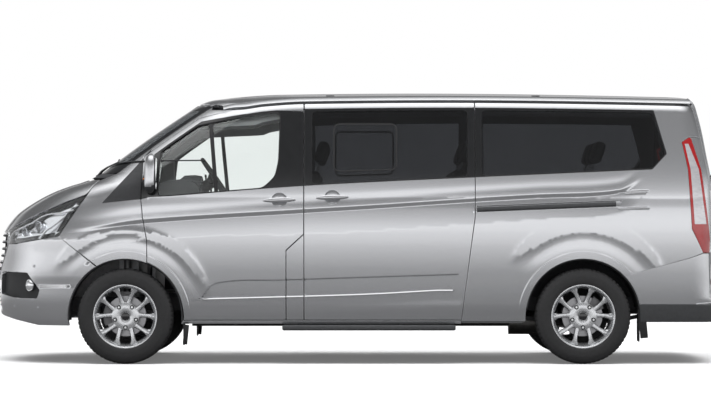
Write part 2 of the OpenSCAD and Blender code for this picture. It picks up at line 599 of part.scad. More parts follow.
module chassis_rails() color("dimgray") difference() {
    union() {
        both() block(rail_front, rail_rear, -rail_y - 45, -rail_y + 45, floor_z - 130, floor_z - 30 - seat_gap);
        for (x = [fx + 330, b_x, c_x, rail_rear - 90])
            block(x, x + 80, -rail_y, rail_y, floor_z - 120, floor_z - 50);
        // Bumper beams and the outriggers that carry the sills.
        block(rail_front - 30, rail_front, -520, 520, floor_z - 130, floor_z - 30);
        block(rail_rear, rail_rear + 40, -800, 800, floor_z - 130, floor_z - 30);
        // Hangers over the ends of the rear springs.
        for (x = [rx - 640, rx + 600]) both()
            block(x, x + 40, -spring_y - 32, -rail_y, tyre_r + 56.3, floor_z - 50);
        for (x = [fx + 560, b_x + 40, c_x - 160]) both()
            block(x, x + 60, -half_w(floor_z - 55) + door_t + frame_t + 18, -rail_y, floor_z - 110, floor_z - 55);
    }
    // The rails rise over the rear axle.
    block(rx - 230, rx + 230, -700, 700, 0, floor_z - 75);
    for (x = [rail_front - 31, rail_rear - 20])
        translate([x, x < 0 ? rail_y : -rail_y, floor_z - 80]) rotate([0, 90, 0]) cylinder(r = tow_r, h = 61);
}
module engine_block() color("dimgray") block(fx - 520, fx + 60, -415, 415, floor_z - 30, floor_z + 450);
module fuel_tank() color("black") block(b_x - 60, b_x + 700, -390, -40, 235, floor_z - 120 - seat_gap);
exhaust_z = 264;
module exhaust() color("gray") {
    translate([fx + 420, 180, exhaust_z]) rotate([0, 90, 0]) cylinder(r = 28, h = rx - fx - 900);
    translate([rx - 480, 180, exhaust_z]) rotate([0, 90, 0]) cylinder(r = 90, h = 340);
    translate([rx - 140, 180, exhaust_z]) rotate([0, 90, 0]) cylinder(r = 26, h = 340);
    for (x = [b_x + 30, c_x + 30])
        block(x, x + 20, 172, 188, exhaust_z + 15, floor_z - 120 - seat_gap);
}
king_low = [fx, 800, 205];
king_high = [fx, 690, 850];
lean = atan((king_low[1] - king_high[1]) / (king_high[2] - king_low[2]));
ball_r = 12;
// The left steering axis, from the lower ball joint up and in to the strut top.
module along_king() translate([fx, -king_low[1], king_low[2]]) rotate([-lean, 0, 0]) children();
module front_subframe() color("dimgray") {
    block(fx - 170, fx + 200, -400, 400, 215, 290);
    both() {
        // Lower arms, narrow near the wheels to clear them at full lock.
        block(fx - 150, fx + 150, -560, -399, 200, 240);
        difference() {
            union() {
                block(fx - 30, fx + 30, -790, -559, 195, 220);
                along_king() translate([0, 0, -22]) cylinder(r = 30, h = 34);
            }
            along_king() translate([0, 0, -60]) cylinder(r = ball_r + run_gap, h = 120);
        }
        // Towers up to the rails.
        block(fx - 40, fx + 40, -490, -390, 280, floor_z - 130 - seat_gap);
    }
}
strut_r = 27;
module strut_towers() color("dimgray") both() difference() {
    union() {
        block(fx - 70, fx + 70, -610, -430, floor_z - 30, floor_z - 10);
        block(fx - 70, fx + 70, -610, -585, floor_z - 30, 862);
        block(fx - 70, fx + 70, -700, -585, 834, 862);
        along_king() translate([0, 0, 625]) cylinder(r = 72, h = 40);
    }
    along_king() translate([0, 0, 500]) cylinder(r = strut_r + run_gap, h = 400);
}
axle_r = 45;
module rear_axle() color("dimgray") {
    cross_bar(axle_r, rx, tyre_r, -tyre_in + 60, tyre_in - 60);
    both() {
        cross_bar(70, rx, tyre_r, tyre_in - 60, tyre_in + 40);
        cross_bar(spindle_r, rx, tyre_r, tyre_in + 40, wheel_y + hub_face - 8);
    }
}
spring_y = 540;
spring_r = 2100;
module leaf_springs() color("dimgray") both() translate([rx, -spring_y + 32, tyre_r - axle_r - 26 - seat_gap]) {
    intersection() {
        translate([0, 0, spring_r]) rotate([90, 0, 0]) difference() {
            cylinder(r = spring_r, h = 64, $fn = 360);
            translate([0, 0, -1]) cylinder(r = spring_r - 26, h = 66, $fn = 360);
        }
        block(-640, 640, -70, 10, -10, 140);
    }
}

// ---- Wheels and knuckles --------------------------------------------------------------------
// A wheel stands at its place; the outer face looks away from the centre line.
module wheel_at(x, side) translate([x, side * wheel_y, tyre_r]) rotate([side * -90, 0, 0]) children();
module tyre() color("black") rotate_extrude($fn = 96) polygon([
    [rim_r - 14, -tyre_w / 2 + 20], [rim_r + 8, -tyre_w / 2 + 6], [rim_r + 55, -tyre_w / 2],
    [tyre_r - 22, -tyre_w / 2 + 10], [tyre_r - 6, -tyre_w / 2 + 26], [tyre_r, -tyre_w / 2 + 50],
    [tyre_r, tyre_w / 2 - 50], [tyre_r - 6, tyre_w / 2 - 26], [tyre_r - 22, tyre_w / 2 - 10],
    [rim_r + 55, tyre_w / 2], [rim_r + 8, tyre_w / 2 - 6], [rim_r - 14, tyre_w / 2 - 20]]);
hub_face = 62;
module rim() color("lightgray") {
    rim_in = rim_r - 14 - seat_gap;
    difference() {
        union() {
            rotate_extrude($fn = 96) polygon([
                [rim_in, -tyre_w / 2 + 20], [rim_in, tyre_w / 2 - 19.5], [rim_r + 4, tyre_w / 2 - 5.5],
                [rim_r, tyre_w / 2 - 1], [rim_r - 8, tyre_w / 2 - 2], [rim_in - 12, tyre_w / 2 - 30],
                [rim_in - 12, -tyre_w / 2 + 20]]);
            translate([0, 0, hub_face - 34]) cylinder(r = 62, h = 34);
            translate([0, 0, hub_face - 34]) cylinder(r = 102, h = 24);
            for (i = [0:4], s = [-1, 1]) rotate(i * 72 + s * 14) translate([60, -11, hub_face - 26])
                cube([rim_in - 66, 22, 28]);
        }
        translate([0, 0, -200]) cylinder(r = spindle_r + run_gap, h = 200 + hub_face - 6);
        for (i = [0:4]) rotate(i * 72 + 36) translate([nut_circle / 2, 0, 0]) cylinder(r = 8, h = 100);
    }
}
module knuckle() color("dimgray") {
    block(fx - 45, fx + 45, -tyre_in - 60, -tyre_in - 20, 236, 520);
    cross_bar(70, fx, tyre_r, tyre_in + 20, tyre_in + 70);
    cross_bar(spindle_r, fx, tyre_r, tyre_in + 60, wheel_y + hub_face - 8);
    along_king() {
        translate([0, 0, -18]) cylinder(r = ball_r, h = 70);
        translate([0, 0, 240]) cylinder(r = strut_r, h = 415);
    }
}

// ---- Cabin ----------------------------------------------------------------------------------
function dash_outline(d) = [[dash_x + seat_gap - 3 * d, 1000], [dash_x + 330 + d, 960],
    [dash_x + 350 + d, 1250], [dash_x + 290, 1325 + d], [dash_x + 60, 1345 + d],
    [dash_x + seat_gap - 3 * d, 1280]];
module dash_prism(d, half) rotate([90, 0, 0]) translate([0, 0, -half]) linear_extrude(2 * half)
    polygon(dash_outline(d));
module dashboard() color("dimgray") dash_prism(0, floor_half - 72);
steer_c = [fx + 630, -430, 1342];
steer_tilt = 55;
module along_column() translate(steer_c) rotate([0, steer_tilt, 0]) children();
module steering_column() color("black") difference() {
    along_column() translate([0, 0, -330]) cylinder(r = 42, h = 302 - seat_gap);
    dash_prism(seat_gap, floor_half);
}
module steering_wheel() color("black") along_column() {
    rotate_extrude($fn = 64) translate([174, 0]) circle(r = 15, $fn = 24);
    translate([0, 0, -28]) cylinder(r = 60, h = 40);
    for (a = [90, 210, 330]) rotate(a) translate([52, -18, -10]) cube([118, 36, 16]);
}
module seat(x, y, w) {
    translate([x, y - w / 2, floor_z + 330]) cube([500, w, 120]);
    translate([x + 500.5, y - w / 2, floor_z + 400]) rotate([0, 18, 0]) {
        cube([110, w, 560]);
        translate([12, w / 2 - 130, 560 + seat_gap]) cube([86, 260, 180]);
    }
    translate([x + 90, y - w / 2 + 40, floor_z + seat_gap]) cube([340, w - 80, 330 - 2 * seat_gap]);
}
seat_x = b_x - 640;
module front_seats() color("dimgray") for (y = [-430, 430]) seat(seat_x, y, 520);
module second_row_seats() color("dimgray") for (y = [-480, 0, 480]) seat(b_x + 420, y, 440);
module third_row_seats() color("dimgray") for (y = [-365, 0, 365]) seat(b_x + 1400, y, 350);
module side_steps() color("black") both()
    block(b_x - 160, c_low - 40, -hw + 20, -hw + 160, 240, 285 - seat_gap);
module mud_flaps() color("black") both() {
    block(fx + arch_r + 2, fx + arch_r + 10, -hw + 30, -hw + 190, 135, 285 - seat_gap);
    block(rx + arch_r - 14, rx + arch_r - 7, -hw + 45, -hw + 190, 160, tyre_r + 60 - seat_gap);
}

// ---- Rear portal, radiator panel and seals --------------------------------------------------
portal_zs = [floor_z + seat_gap, bumper_top + 8, 900, body_h - 975, 1180, body_h - 660, body_h - 464,
    body_h - 298, body_h - 178, body_h - 138];
module portal_solid(off, t) translate([0, hw, 0]) rotate([90, 0, 0]) linear_extrude(body_w) polygon(
    concat([for (z = portal_zs) [tail(max(z, bumper_top + 8)) - off, z]],
    [for (k = [len(portal_zs) - 1:-1:0]) [tail(max(portal_zs[k], bumper_top + 8)) - off - t, portal_zs[k]]]));
module portal_opening(d) rear_prism([[-700 - d, 745 - d], [700 + d, 745 - d], [735 + d, 1200],
    [tail_half(1780) - 75 + d, 1780 + d], [75 - tail_half(1780) - d, 1780 + d], [-735 - d, 1200]],
    tail_x - 500, tail_x + 60);
module rear_portal() color("slategray") difference() {
    intersection() {
        portal_solid(door_t + 6, 40);
        rear_prism(concat([for (z = portal_zs) [half_w(z) - door_t - 11.1, z]],
            [for (k = [len(portal_zs) - 1:-1:0]) [11.1 + door_t - half_w(portal_zs[k]), portal_zs[k]]]),
            tail_x - 500, tail_x + 60);
    }
    portal_opening(0);
}
slam_x = nose_x + 262;
module radiator_panel() color("dimgray") difference() {
    block(slam_x, slam_x + 30, -490, 490, floor_z - 30, 1000);
    block(slam_x - 1, slam_x + 31, -400, 400, floor_z + 40, 930);
}
module seals() color("black") {
    both() intersection() {
        side_wall(0, fan + 2, front_door_t + seat_gap, door_t - front_door_t - seat_gap);
        side_prism_ring(front_opening, 24);
    }
    difference() {
        portal_solid(door_t + seat_gap, 6 - 2 * seat_gap);
        portal_opening(0);
        difference() {
            block(tail_x - 500, tail_x + 60, -hw, hw, 0, body_h);
            portal_opening(26);
        }
    }
    // Rubber stops under the bonnet.
    for (y = [-430, 430]) intersection() {
        translate([slam_x + 15, y, 1000]) cylinder(r = 12, h = 400);
        nose_skin(930, cowl_z - 44, 10, 78, skin_t, skin_t, seat_gap, 300);
    }
}
module side_prism_ring(outline, d) rotate([90, 0, 0]) linear_extrude(hw + 50)
    difference() {
        offset(delta = d) polygon(outline);
        polygon(outline);
    }

roof_panel();
roof_frame();
body_frame_front();
body_frame_rear();
front_wings();
quarter_panels();
bonnet();
cowl_panel();
windscreen();
tail_lamps();
front_bumper();
grille();
headlamps();
rear_bumper();
front_door();  // front_door_left
mirror([0, 1, 0]) front_door();  // front_door_right
front_door_glass();  // front_door_glass_left
mirror([0, 1, 0]) front_door_glass();  // front_door_glass_right
door_mirror();  // door_mirror_left
mirror([0, 1, 0]) door_mirror();  // door_mirror_right
sliding_door();  // sliding_door_left
mirror([0, 1, 0]) sliding_door();  // sliding_door_right
side_windows();
lower_side_panels();
tailgate();
tailgate_glass();
floor_pan();
bulkhead();
wheel_arch_liners();
chassis_rails();
engine_block();
fuel_tank();
exhaust();
front_subframe();
rear_axle();
leaf_springs();
wheel_at(fx, -1) tyre();  // tyre_front_left
wheel_at(fx, 1) tyre();  // tyre_front_right
wheel_at(rx, -1) tyre();  // tyre_rear_left
wheel_at(rx, 1) tyre();  // tyre_rear_right
wheel_at(fx, -1) rim();  // rim_front_left
wheel_at(fx, 1) rim();  // rim_front_right
wheel_at(rx, -1) rim();  // rim_rear_left
wheel_at(rx, 1) rim();  // rim_rear_right
knuckle();  // knuckle_left
mirror([0, 1, 0]) knuckle();  // knuckle_right
dashboard();
steering_column();
steering_wheel();
front_seats();
second_row_seats();
third_row_seats();
side_steps();
mud_flaps();
strut_towers();
rear_portal();
radiator_panel();
seals();
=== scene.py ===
"""Looks of the minibus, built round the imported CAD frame. Lengths in the surface functions are in
millimetres, as in part.scad; mesh coordinates are in metres."""
import math

import bmesh
import bpy
import numpy as np
from mathutils import Euler, Matrix, Vector, kdtree
from mathutils.geometry import delaunay_2d_cdt


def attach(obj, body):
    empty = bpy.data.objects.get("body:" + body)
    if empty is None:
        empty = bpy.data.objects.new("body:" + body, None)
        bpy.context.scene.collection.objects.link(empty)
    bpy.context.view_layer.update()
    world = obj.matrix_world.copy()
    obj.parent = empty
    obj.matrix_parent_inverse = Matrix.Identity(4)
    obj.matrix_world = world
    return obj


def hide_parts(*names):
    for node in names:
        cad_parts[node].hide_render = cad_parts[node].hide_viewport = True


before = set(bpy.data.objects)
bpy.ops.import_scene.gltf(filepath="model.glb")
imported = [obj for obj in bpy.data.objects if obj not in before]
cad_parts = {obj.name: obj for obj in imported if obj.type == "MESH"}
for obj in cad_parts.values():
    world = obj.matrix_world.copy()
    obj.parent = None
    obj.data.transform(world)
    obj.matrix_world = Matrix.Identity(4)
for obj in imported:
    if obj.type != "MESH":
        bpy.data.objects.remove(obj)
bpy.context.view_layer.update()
MM = 0.001

# ---- Surfaces, as in part.scad ------------------------------------------------------------
HW = 993.0
NOSE_X, TAIL_X = -2669.5, 2669.5
FX, RX = NOSE_X + 1010, NOSE_X + 4310
TYRE_R, ARCH_R = 345.0, 415.0
B_X = FX + 1291
C_X = B_X + 1234
C_LOW = C_X - 103
BODY_H = 1986.0
COWL_Z, RAKE = 1379.0, math.radians(35.3)
COWL_X = NOSE_X + 780
HEADER_Z = BODY_H - 94
HEADER_X = COWL_X + (HEADER_Z - COWL_Z) / math.tan(RAKE)
ROOF_R = 90.0
GAP = 6.0
DOOR_FRONT = FX + 118
SCREEN_EDGE = 0.86
TAIL_R = 130.0
TAIL_BOW = 60.0


def smooth(table, v):
    xs, ys = np.array(table, float).T
    n = len(xs)
    slopes = np.array([(ys[min(i + 1, n - 1)] - ys[max(i - 1, 0)]) / (xs[min(i + 1, n - 1)] - xs[max(i - 1, 0)])
                       for i in range(n)])
    v = np.clip(np.asarray(v, float), xs[0], xs[-1])
    i = np.clip(np.searchsorted(xs, v, side="right") - 1, 0, n - 2)
    h = xs[i + 1] - xs[i]
    u = (v - xs[i]) / h
    return (ys[i] * (1 + 2 * u) * (1 - u) ** 2 + h * slopes[i] * u * (1 - u) ** 2
            + ys[i + 1] * u * u * (3 - 2 * u) + h * slopes[i + 1] * u * u * (u - 1))


def ramp(v, a, b):
    u = np.clip((np.asarray(v, float) - a) / (b - a), 0, 1)
    return u * u * (3 - 2 * u)


NOSE = [[150, 110], [250, 70], [330, 30], [400, 10], [520, 0], [657, 5], [801, 29], [955, 48],
        [1056, 118], [1109, 178], [1184, 298], [1244, 418], [1289, 539], [1325, 660], [COWL_Z, 780]]
ROOF = [[HEADER_X, HEADER_Z], [HEADER_X + 75, BODY_H - 65], [HEADER_X + 151, BODY_H - 50],
        [HEADER_X + 301, BODY_H - 27], [HEADER_X + 600, BODY_H - 8], [(HEADER_X + TAIL_X) / 2, BODY_H],
        [TAIL_X - 320, BODY_H - 27], [TAIL_X - 227, BODY_H - 42]]
TAIL = [[712, -33], [BODY_H - 975, -33], [BODY_H - 660, -40], [BODY_H - 464, -75], [BODY_H - 298, -107],
        [BODY_H - 178, -137], [BODY_H - 95, -167], [BODY_H - 42, -227]]
LOW = [[150, 100], [250, 70], [320, 45], [450, 22], [650, 7], [850, 0], [1000, 0], [1120, 6], [1200, 16]]
BELT = [[FX + 250, 1213], [FX + 328, 1220], [B_X, 1294], [C_X, 1356], [TAIL_X - 530, 1413]]


def nose(z):
    z = np.asarray(z, float)
    up = COWL_X + (z - COWL_Z) / math.tan(RAKE) - 18 * np.sin(np.pi * (z - COWL_Z) / (HEADER_Z - COWL_Z))
    return np.where(z <= COWL_Z, NOSE_X + smooth(NOSE, z), up)


def tail(z):
    return TAIL_X + smooth(TAIL, z)


def corner_x(z):
    """Where the tail ends at the body's corners; it bows back towards the middle."""
    return tail(z) - TAIL_BOW


def gate_x(y, z):
    return tail(z) - TAIL_BOW * np.minimum(np.abs(y) / 880, 1) ** 1.6


def half_w(z):
    z = np.asarray(z, float)
    top = 16 + 124 * (np.maximum(z - 1200, 0) / (BODY_H - 140 - 1200)) ** 1.3
    return HW - np.where(z <= 1200, smooth(LOW, z), top)


def round_x(z):
    z = np.asarray(z, float)
    mid = FX - 40 + (float(nose(COWL_Z)) + 700 - FX + 40) * (z - 900) / (COWL_Z - 900)
    return np.where(z >= COWL_Z, nose(z) + 700, np.where(z <= 900, FX - 40, mid))


def round_n(z):
    return 2.6 + 0.9 * ramp(z, 1000, 1400)


def front_x(y, z):
    n = round_n(z)
    q = np.minimum(np.abs(y) / half_w(z), 1)
    return round_x(z) - (round_x(z) - nose(z)) * (1 - q ** n) ** (1 / n)


def fillet(d, r):
    d = np.maximum(d, 0)
    return np.where(d >= r, 0, r - np.sqrt(np.maximum(0, r * r - (r - np.minimum(d, r)) ** 2)))


def header_bow(y):
    return front_x(np.minimum(np.abs(y), half_w(HEADER_Z) * 0.9), HEADER_Z) - nose(HEADER_Z)


def roof_crown(x):
    return 57 * ramp(x, HEADER_X + 10, HEADER_X + 400)


EDGE_Y = float(half_w(BODY_H - 60))


def roof_mid(x, y):
    return smooth(ROOF, np.maximum(HEADER_X, x - header_bow(y)))


def edge_z(x):
    return roof_mid(x, EDGE_Y) - roof_crown(x)


def roof_z(x, y):
    return (roof_mid(x, y) - roof_crown(x) * np.minimum(np.abs(y) / EDGE_Y, 1) ** 2
            - fillet(EDGE_Y - np.abs(y), ROOF_R))


def side_y(x, z):
    n = round_n(z)
    q = np.clip((round_x(z) - x) / (round_x(z) - nose(z)), 0, 1)
    return (half_w(z) * (1 - q ** n) ** (1 / n) - fillet(corner_x(z) - x, TAIL_R)
            - np.where(np.asarray(x) > HEADER_X, fillet(edge_z(x) - z, ROOF_R), 0))


SEAM = ROOF_R * (1 - math.sqrt(0.5))


def seam_z(x):
    return edge_z(x) - SEAM


def pillar_x(z):
    return front_x(SCREEN_EDGE * half_w(z), z)


def belt(x):
    return smooth(BELT, x)


def side_point(uv):
    """Left side, addressed by [x, z]."""
    x, z = uv[:, 0], uv[:, 1]
    return np.stack([x, -side_y(x, z), z], 1)


WRAP = 12.0


def wrap_point(uv):
    """Front half of the left side, addressed by [unrolled distance, z]; 0 is where the nose begins to round."""
    u, z = uv[:, 0], uv[:, 1]
    a = np.radians(np.clip(90 + u / WRAP, -90, 90))
    p = 2 / round_n(z)
    s = np.where(a < 0, -1, 1)
    x = np.where(u >= 0, round_x(z) + u, round_x(z) - (round_x(z) - nose(z)) * np.cos(a) ** p)
    y = np.where(u >= 0, side_y(round_x(z) + u, z), half_w(z) * np.abs(np.sin(a)) ** p * s)
    top = np.where(x > HEADER_X, fillet(edge_z(x) - z, ROOF_R), 0) * np.where(u < 0, 1, 0)
    return np.stack([x, -(y - top * s), z], 1)


def wrap_uv(pts):
    """Side-view points [x, z] as unrolled [u, z]."""
    pts = np.array(pts, float)
    x, z = pts[:, 0], pts[:, 1]
    span = round_x(z) - nose(z)
    q = np.clip((round_x(z) - x) / span, 0, 1)
    a = np.degrees(np.arccos(q ** (round_n(z) / 2)))
    return np.stack([np.where(x < round_x(z), (a - 90) * WRAP, x - round_x(z)), z], 1)


def wrap_uv_front(pts):
    """Front-view points [y to the left, z] as unrolled [u, z]."""
    pts = np.array(pts, float)
    y, z = pts[:, 0], pts[:, 1]
    q = np.clip(np.abs(y) / half_w(z), 0, 1)
    a = np.degrees(np.arcsin(q ** (round_n(z) / 2))) * np.sign(y)
    return np.stack([(a - 90) * WRAP, z], 1)


def roof_point(uv):
    x, y = uv[:, 0], uv[:, 1]
    return np.stack([x, y, roof_z(x, y)], 1)


def tail_point(uv):
    """The gate, addressed by [y, z]."""
    y, z = uv[:, 0], uv[:, 1]
    return np.stack([gate_x(y, z), y, z], 1)


# ---- Outlines in the side view --------------------------------------------------------------
def line(xs, f):
    return [[float(x), float(f(x))] for x in xs]


def steps(a, b, n):
    return [a + (b - a) * i / n for i in range(n + 1)]


def pillar_line(inset, z0, z1, n):
    return [[float(pillar_x(z)) + inset, z] for z in steps(z0, z1, n)]


def seam_line(x0, x1, n, drop):
    return line(steps(x0, x1, n), lambda x: seam_z(x) - drop)


PILLAR_GAP, DOOR_TOP, GLASS_DROP, DOOR_BOTTOM = 46.0, 14.0, 68.0, 315.0
PILLAR_Z0 = COWL_Z + (DOOR_FRONT - COWL_X - 203) * math.tan(RAKE) + 14
ROOF_TURN = HEADER_X + 215
PILLAR_Z1 = float(seam_z(ROOF_TURN)) - 66
DOOR_FRONT_EDGE = [[DOOR_FRONT, 1188], [DOOR_FRONT + 12, 1056], [DOOR_FRONT + 42, 891]]
DOOR = (DOOR_FRONT_EDGE + [[DOOR_FRONT + 47, TYRE_R], [DOOR_FRONT + 47, DOOR_BOTTOM], [B_X - 135, DOOR_BOTTOM],
        [B_X - 135, 822], [B_X - 8, 938], [B_X - 8, float(seam_z(B_X)) - DOOR_TOP]]
        + seam_line(B_X - 60, ROOF_TURN + 60, 14, DOOR_TOP) + pillar_line(PILLAR_GAP, PILLAR_Z1, PILLAR_Z0, 14))
DOOR_GLASS = ([[DOOR_FRONT + 122, float(belt(DOOR_FRONT + 122))]]
              + line(steps(B_X - 700, B_X - 300, 4), belt)
              + [[B_X - 215, float(belt(B_X)) + 60], [B_X - 190, float(belt(B_X)) + 170],
                 [B_X - 178, float(seam_z(B_X - 178)) - GLASS_DROP]]
              + seam_line(B_X - 260, ROOF_TURN + 150, 8, GLASS_DROP)
              + pillar_line(PILLAR_GAP + 75, PILLAR_Z1 - 52, PILLAR_Z0 + 40, 10))
SLIDE = ([[B_X, DOOR_BOTTOM], [C_LOW, DOOR_BOTTOM], [C_X - 6, 1075]] + seam_line(C_X - 6, B_X, 10, DOOR_TOP))
SLIDE_GLASS = line(steps(B_X + 55, C_X - 55, 6), belt) + seam_line(C_X - 55, B_X + 55, 6, GLASS_DROP)
QUARTER_GLASS = (line(steps(C_X + 45, TAIL_X - 530, 6), belt)
                 + [[TAIL_X - 432, float(belt(TAIL_X - 430)) + 105],
                    [TAIL_X - 520, float(seam_z(TAIL_X - 520)) - GLASS_DROP]]
                 + seam_line(TAIL_X - 640, C_X + 45, 6, GLASS_DROP))
BUMPER_SEAM = [[TAIL_X - 770, 626], [TAIL_X - 271, 764], [TAIL_X - 165, 802], [TAIL_X + 10, 802]]
LAMP_REAR = [[TAIL_X - 264, 1636], [TAIL_X - 316, 1604], [TAIL_X - 276, 1404], [TAIL_X - 252, 975],
             [TAIL_X - 168, 801]]
WING_LOW = [FX - 160, 675]
LAMP_LOW = [NOSE_X + 527, 921]
LAMP_HIGH = [NOSE_X + 731, 1221]
BONNET_CORNER = [NOSE_X + 789, 1311]


def arc(cx, cz, r, a0, a1, n):
    return [[cx + r * math.cos(math.radians(a)), cz + r * math.sin(math.radians(a))] for a in steps(a0, a1, n)]


# ---- Mesh building --------------------------------------------------------------------------
def spread(poly, step):
    out = []
    for (x0, z0), (x1, z1) in zip(poly, poly[1:] + poly[:1]):
        n = max(1, int(round(math.hypot(x1 - x0, z1 - z0) / step)))
        out += [[x0 + (x1 - x0) * k / n, z0 + (z1 - z0) * k / n] for k in range(n)]
    return np.array(out)


def along(pts, step):
    """An open line as evenly spaced points."""
    out = [list(map(float, pts[0]))]
    for (x0, z0), (x1, z1) in zip(pts, pts[1:]):
        n = max(1, int(round(math.hypot(x1 - x0, z1 - z0) / step)))
        out += [[x0 + (x1 - x0) * k / n, z0 + (z1 - z0) * k / n] for k in range(1, n + 1)]
    return out


def rounded(poly, r, seg=5):
    """The outline with its corners rounded."""
    out = []
    n = len(poly)
    for i in range(n):
        a, b, c = (np.array(poly[k % n], float) for k in (i - 1, i, i + 1))
        la, lc = np.linalg.norm(a - b), np.linalg.norm(c - b)
        if la < 1e-6 or lc < 1e-6:
            continue
        t = min(r, la * 0.45, lc * 0.45)
        p, q = b + (a - b) / la * t, b + (c - b) / lc * t
        if abs(np.cross(a - b, c - b)) / (la * lc) < 0.12:
            out.append(b.tolist())
            continue
        for k in range(seg + 1):
            s = k / seg
            out.append(((1 - s) ** 2 * p + 2 * s * (1 - s) * b + s * s * q).tolist())
    return out


def inside(pts, poly):
    poly = np.asarray(poly)
    x, z = pts[:, 0], pts[:, 1]
    hit = np.zeros(len(pts), bool)
    for (x0, z0), (x1, z1) in zip(poly, np.roll(poly, -1, 0)):
        if z0 == z1:
            continue
        cross = (z0 > z) != (z1 > z)
        hit ^= cross & (x < (x1 - x0) * (z - z0) / (z1 - z0) + x0)
    return hit


def area_sign(poly):
    p = np.asarray(poly)
    return np.sign(np.sum(p[:, 0] * np.roll(p[:, 1], -1) - np.roll(p[:, 0], -1) * p[:, 1]))


def inward(poly, d):
    """The outline moved d towards its inside."""
    p = np.asarray(poly, float)
    a, b = p - np.roll(p, 1, 0), np.roll(p, -1, 0) - p
    a /= np.maximum(np.linalg.norm(a, axis=1, keepdims=True), 1e-9)
    b /= np.maximum(np.linalg.norm(b, axis=1, keepdims=True), 1e-9)
    n = np.stack([-(a + b)[:, 1], (a + b)[:, 0]], 1)
    n /= np.maximum(np.linalg.norm(n, axis=1, keepdims=True), 1e-9)
    return p + n * d * area_sign(p)


def normals_of(f, uv, e=0.8):
    du = np.array([e, 0.0])
    dv = np.array([0.0, e])
    n = np.cross(f(uv + du) - f(uv - du), f(uv + dv) - f(uv - dv))
    return n / np.maximum(np.linalg.norm(n, axis=1, keepdims=True), 1e-9)


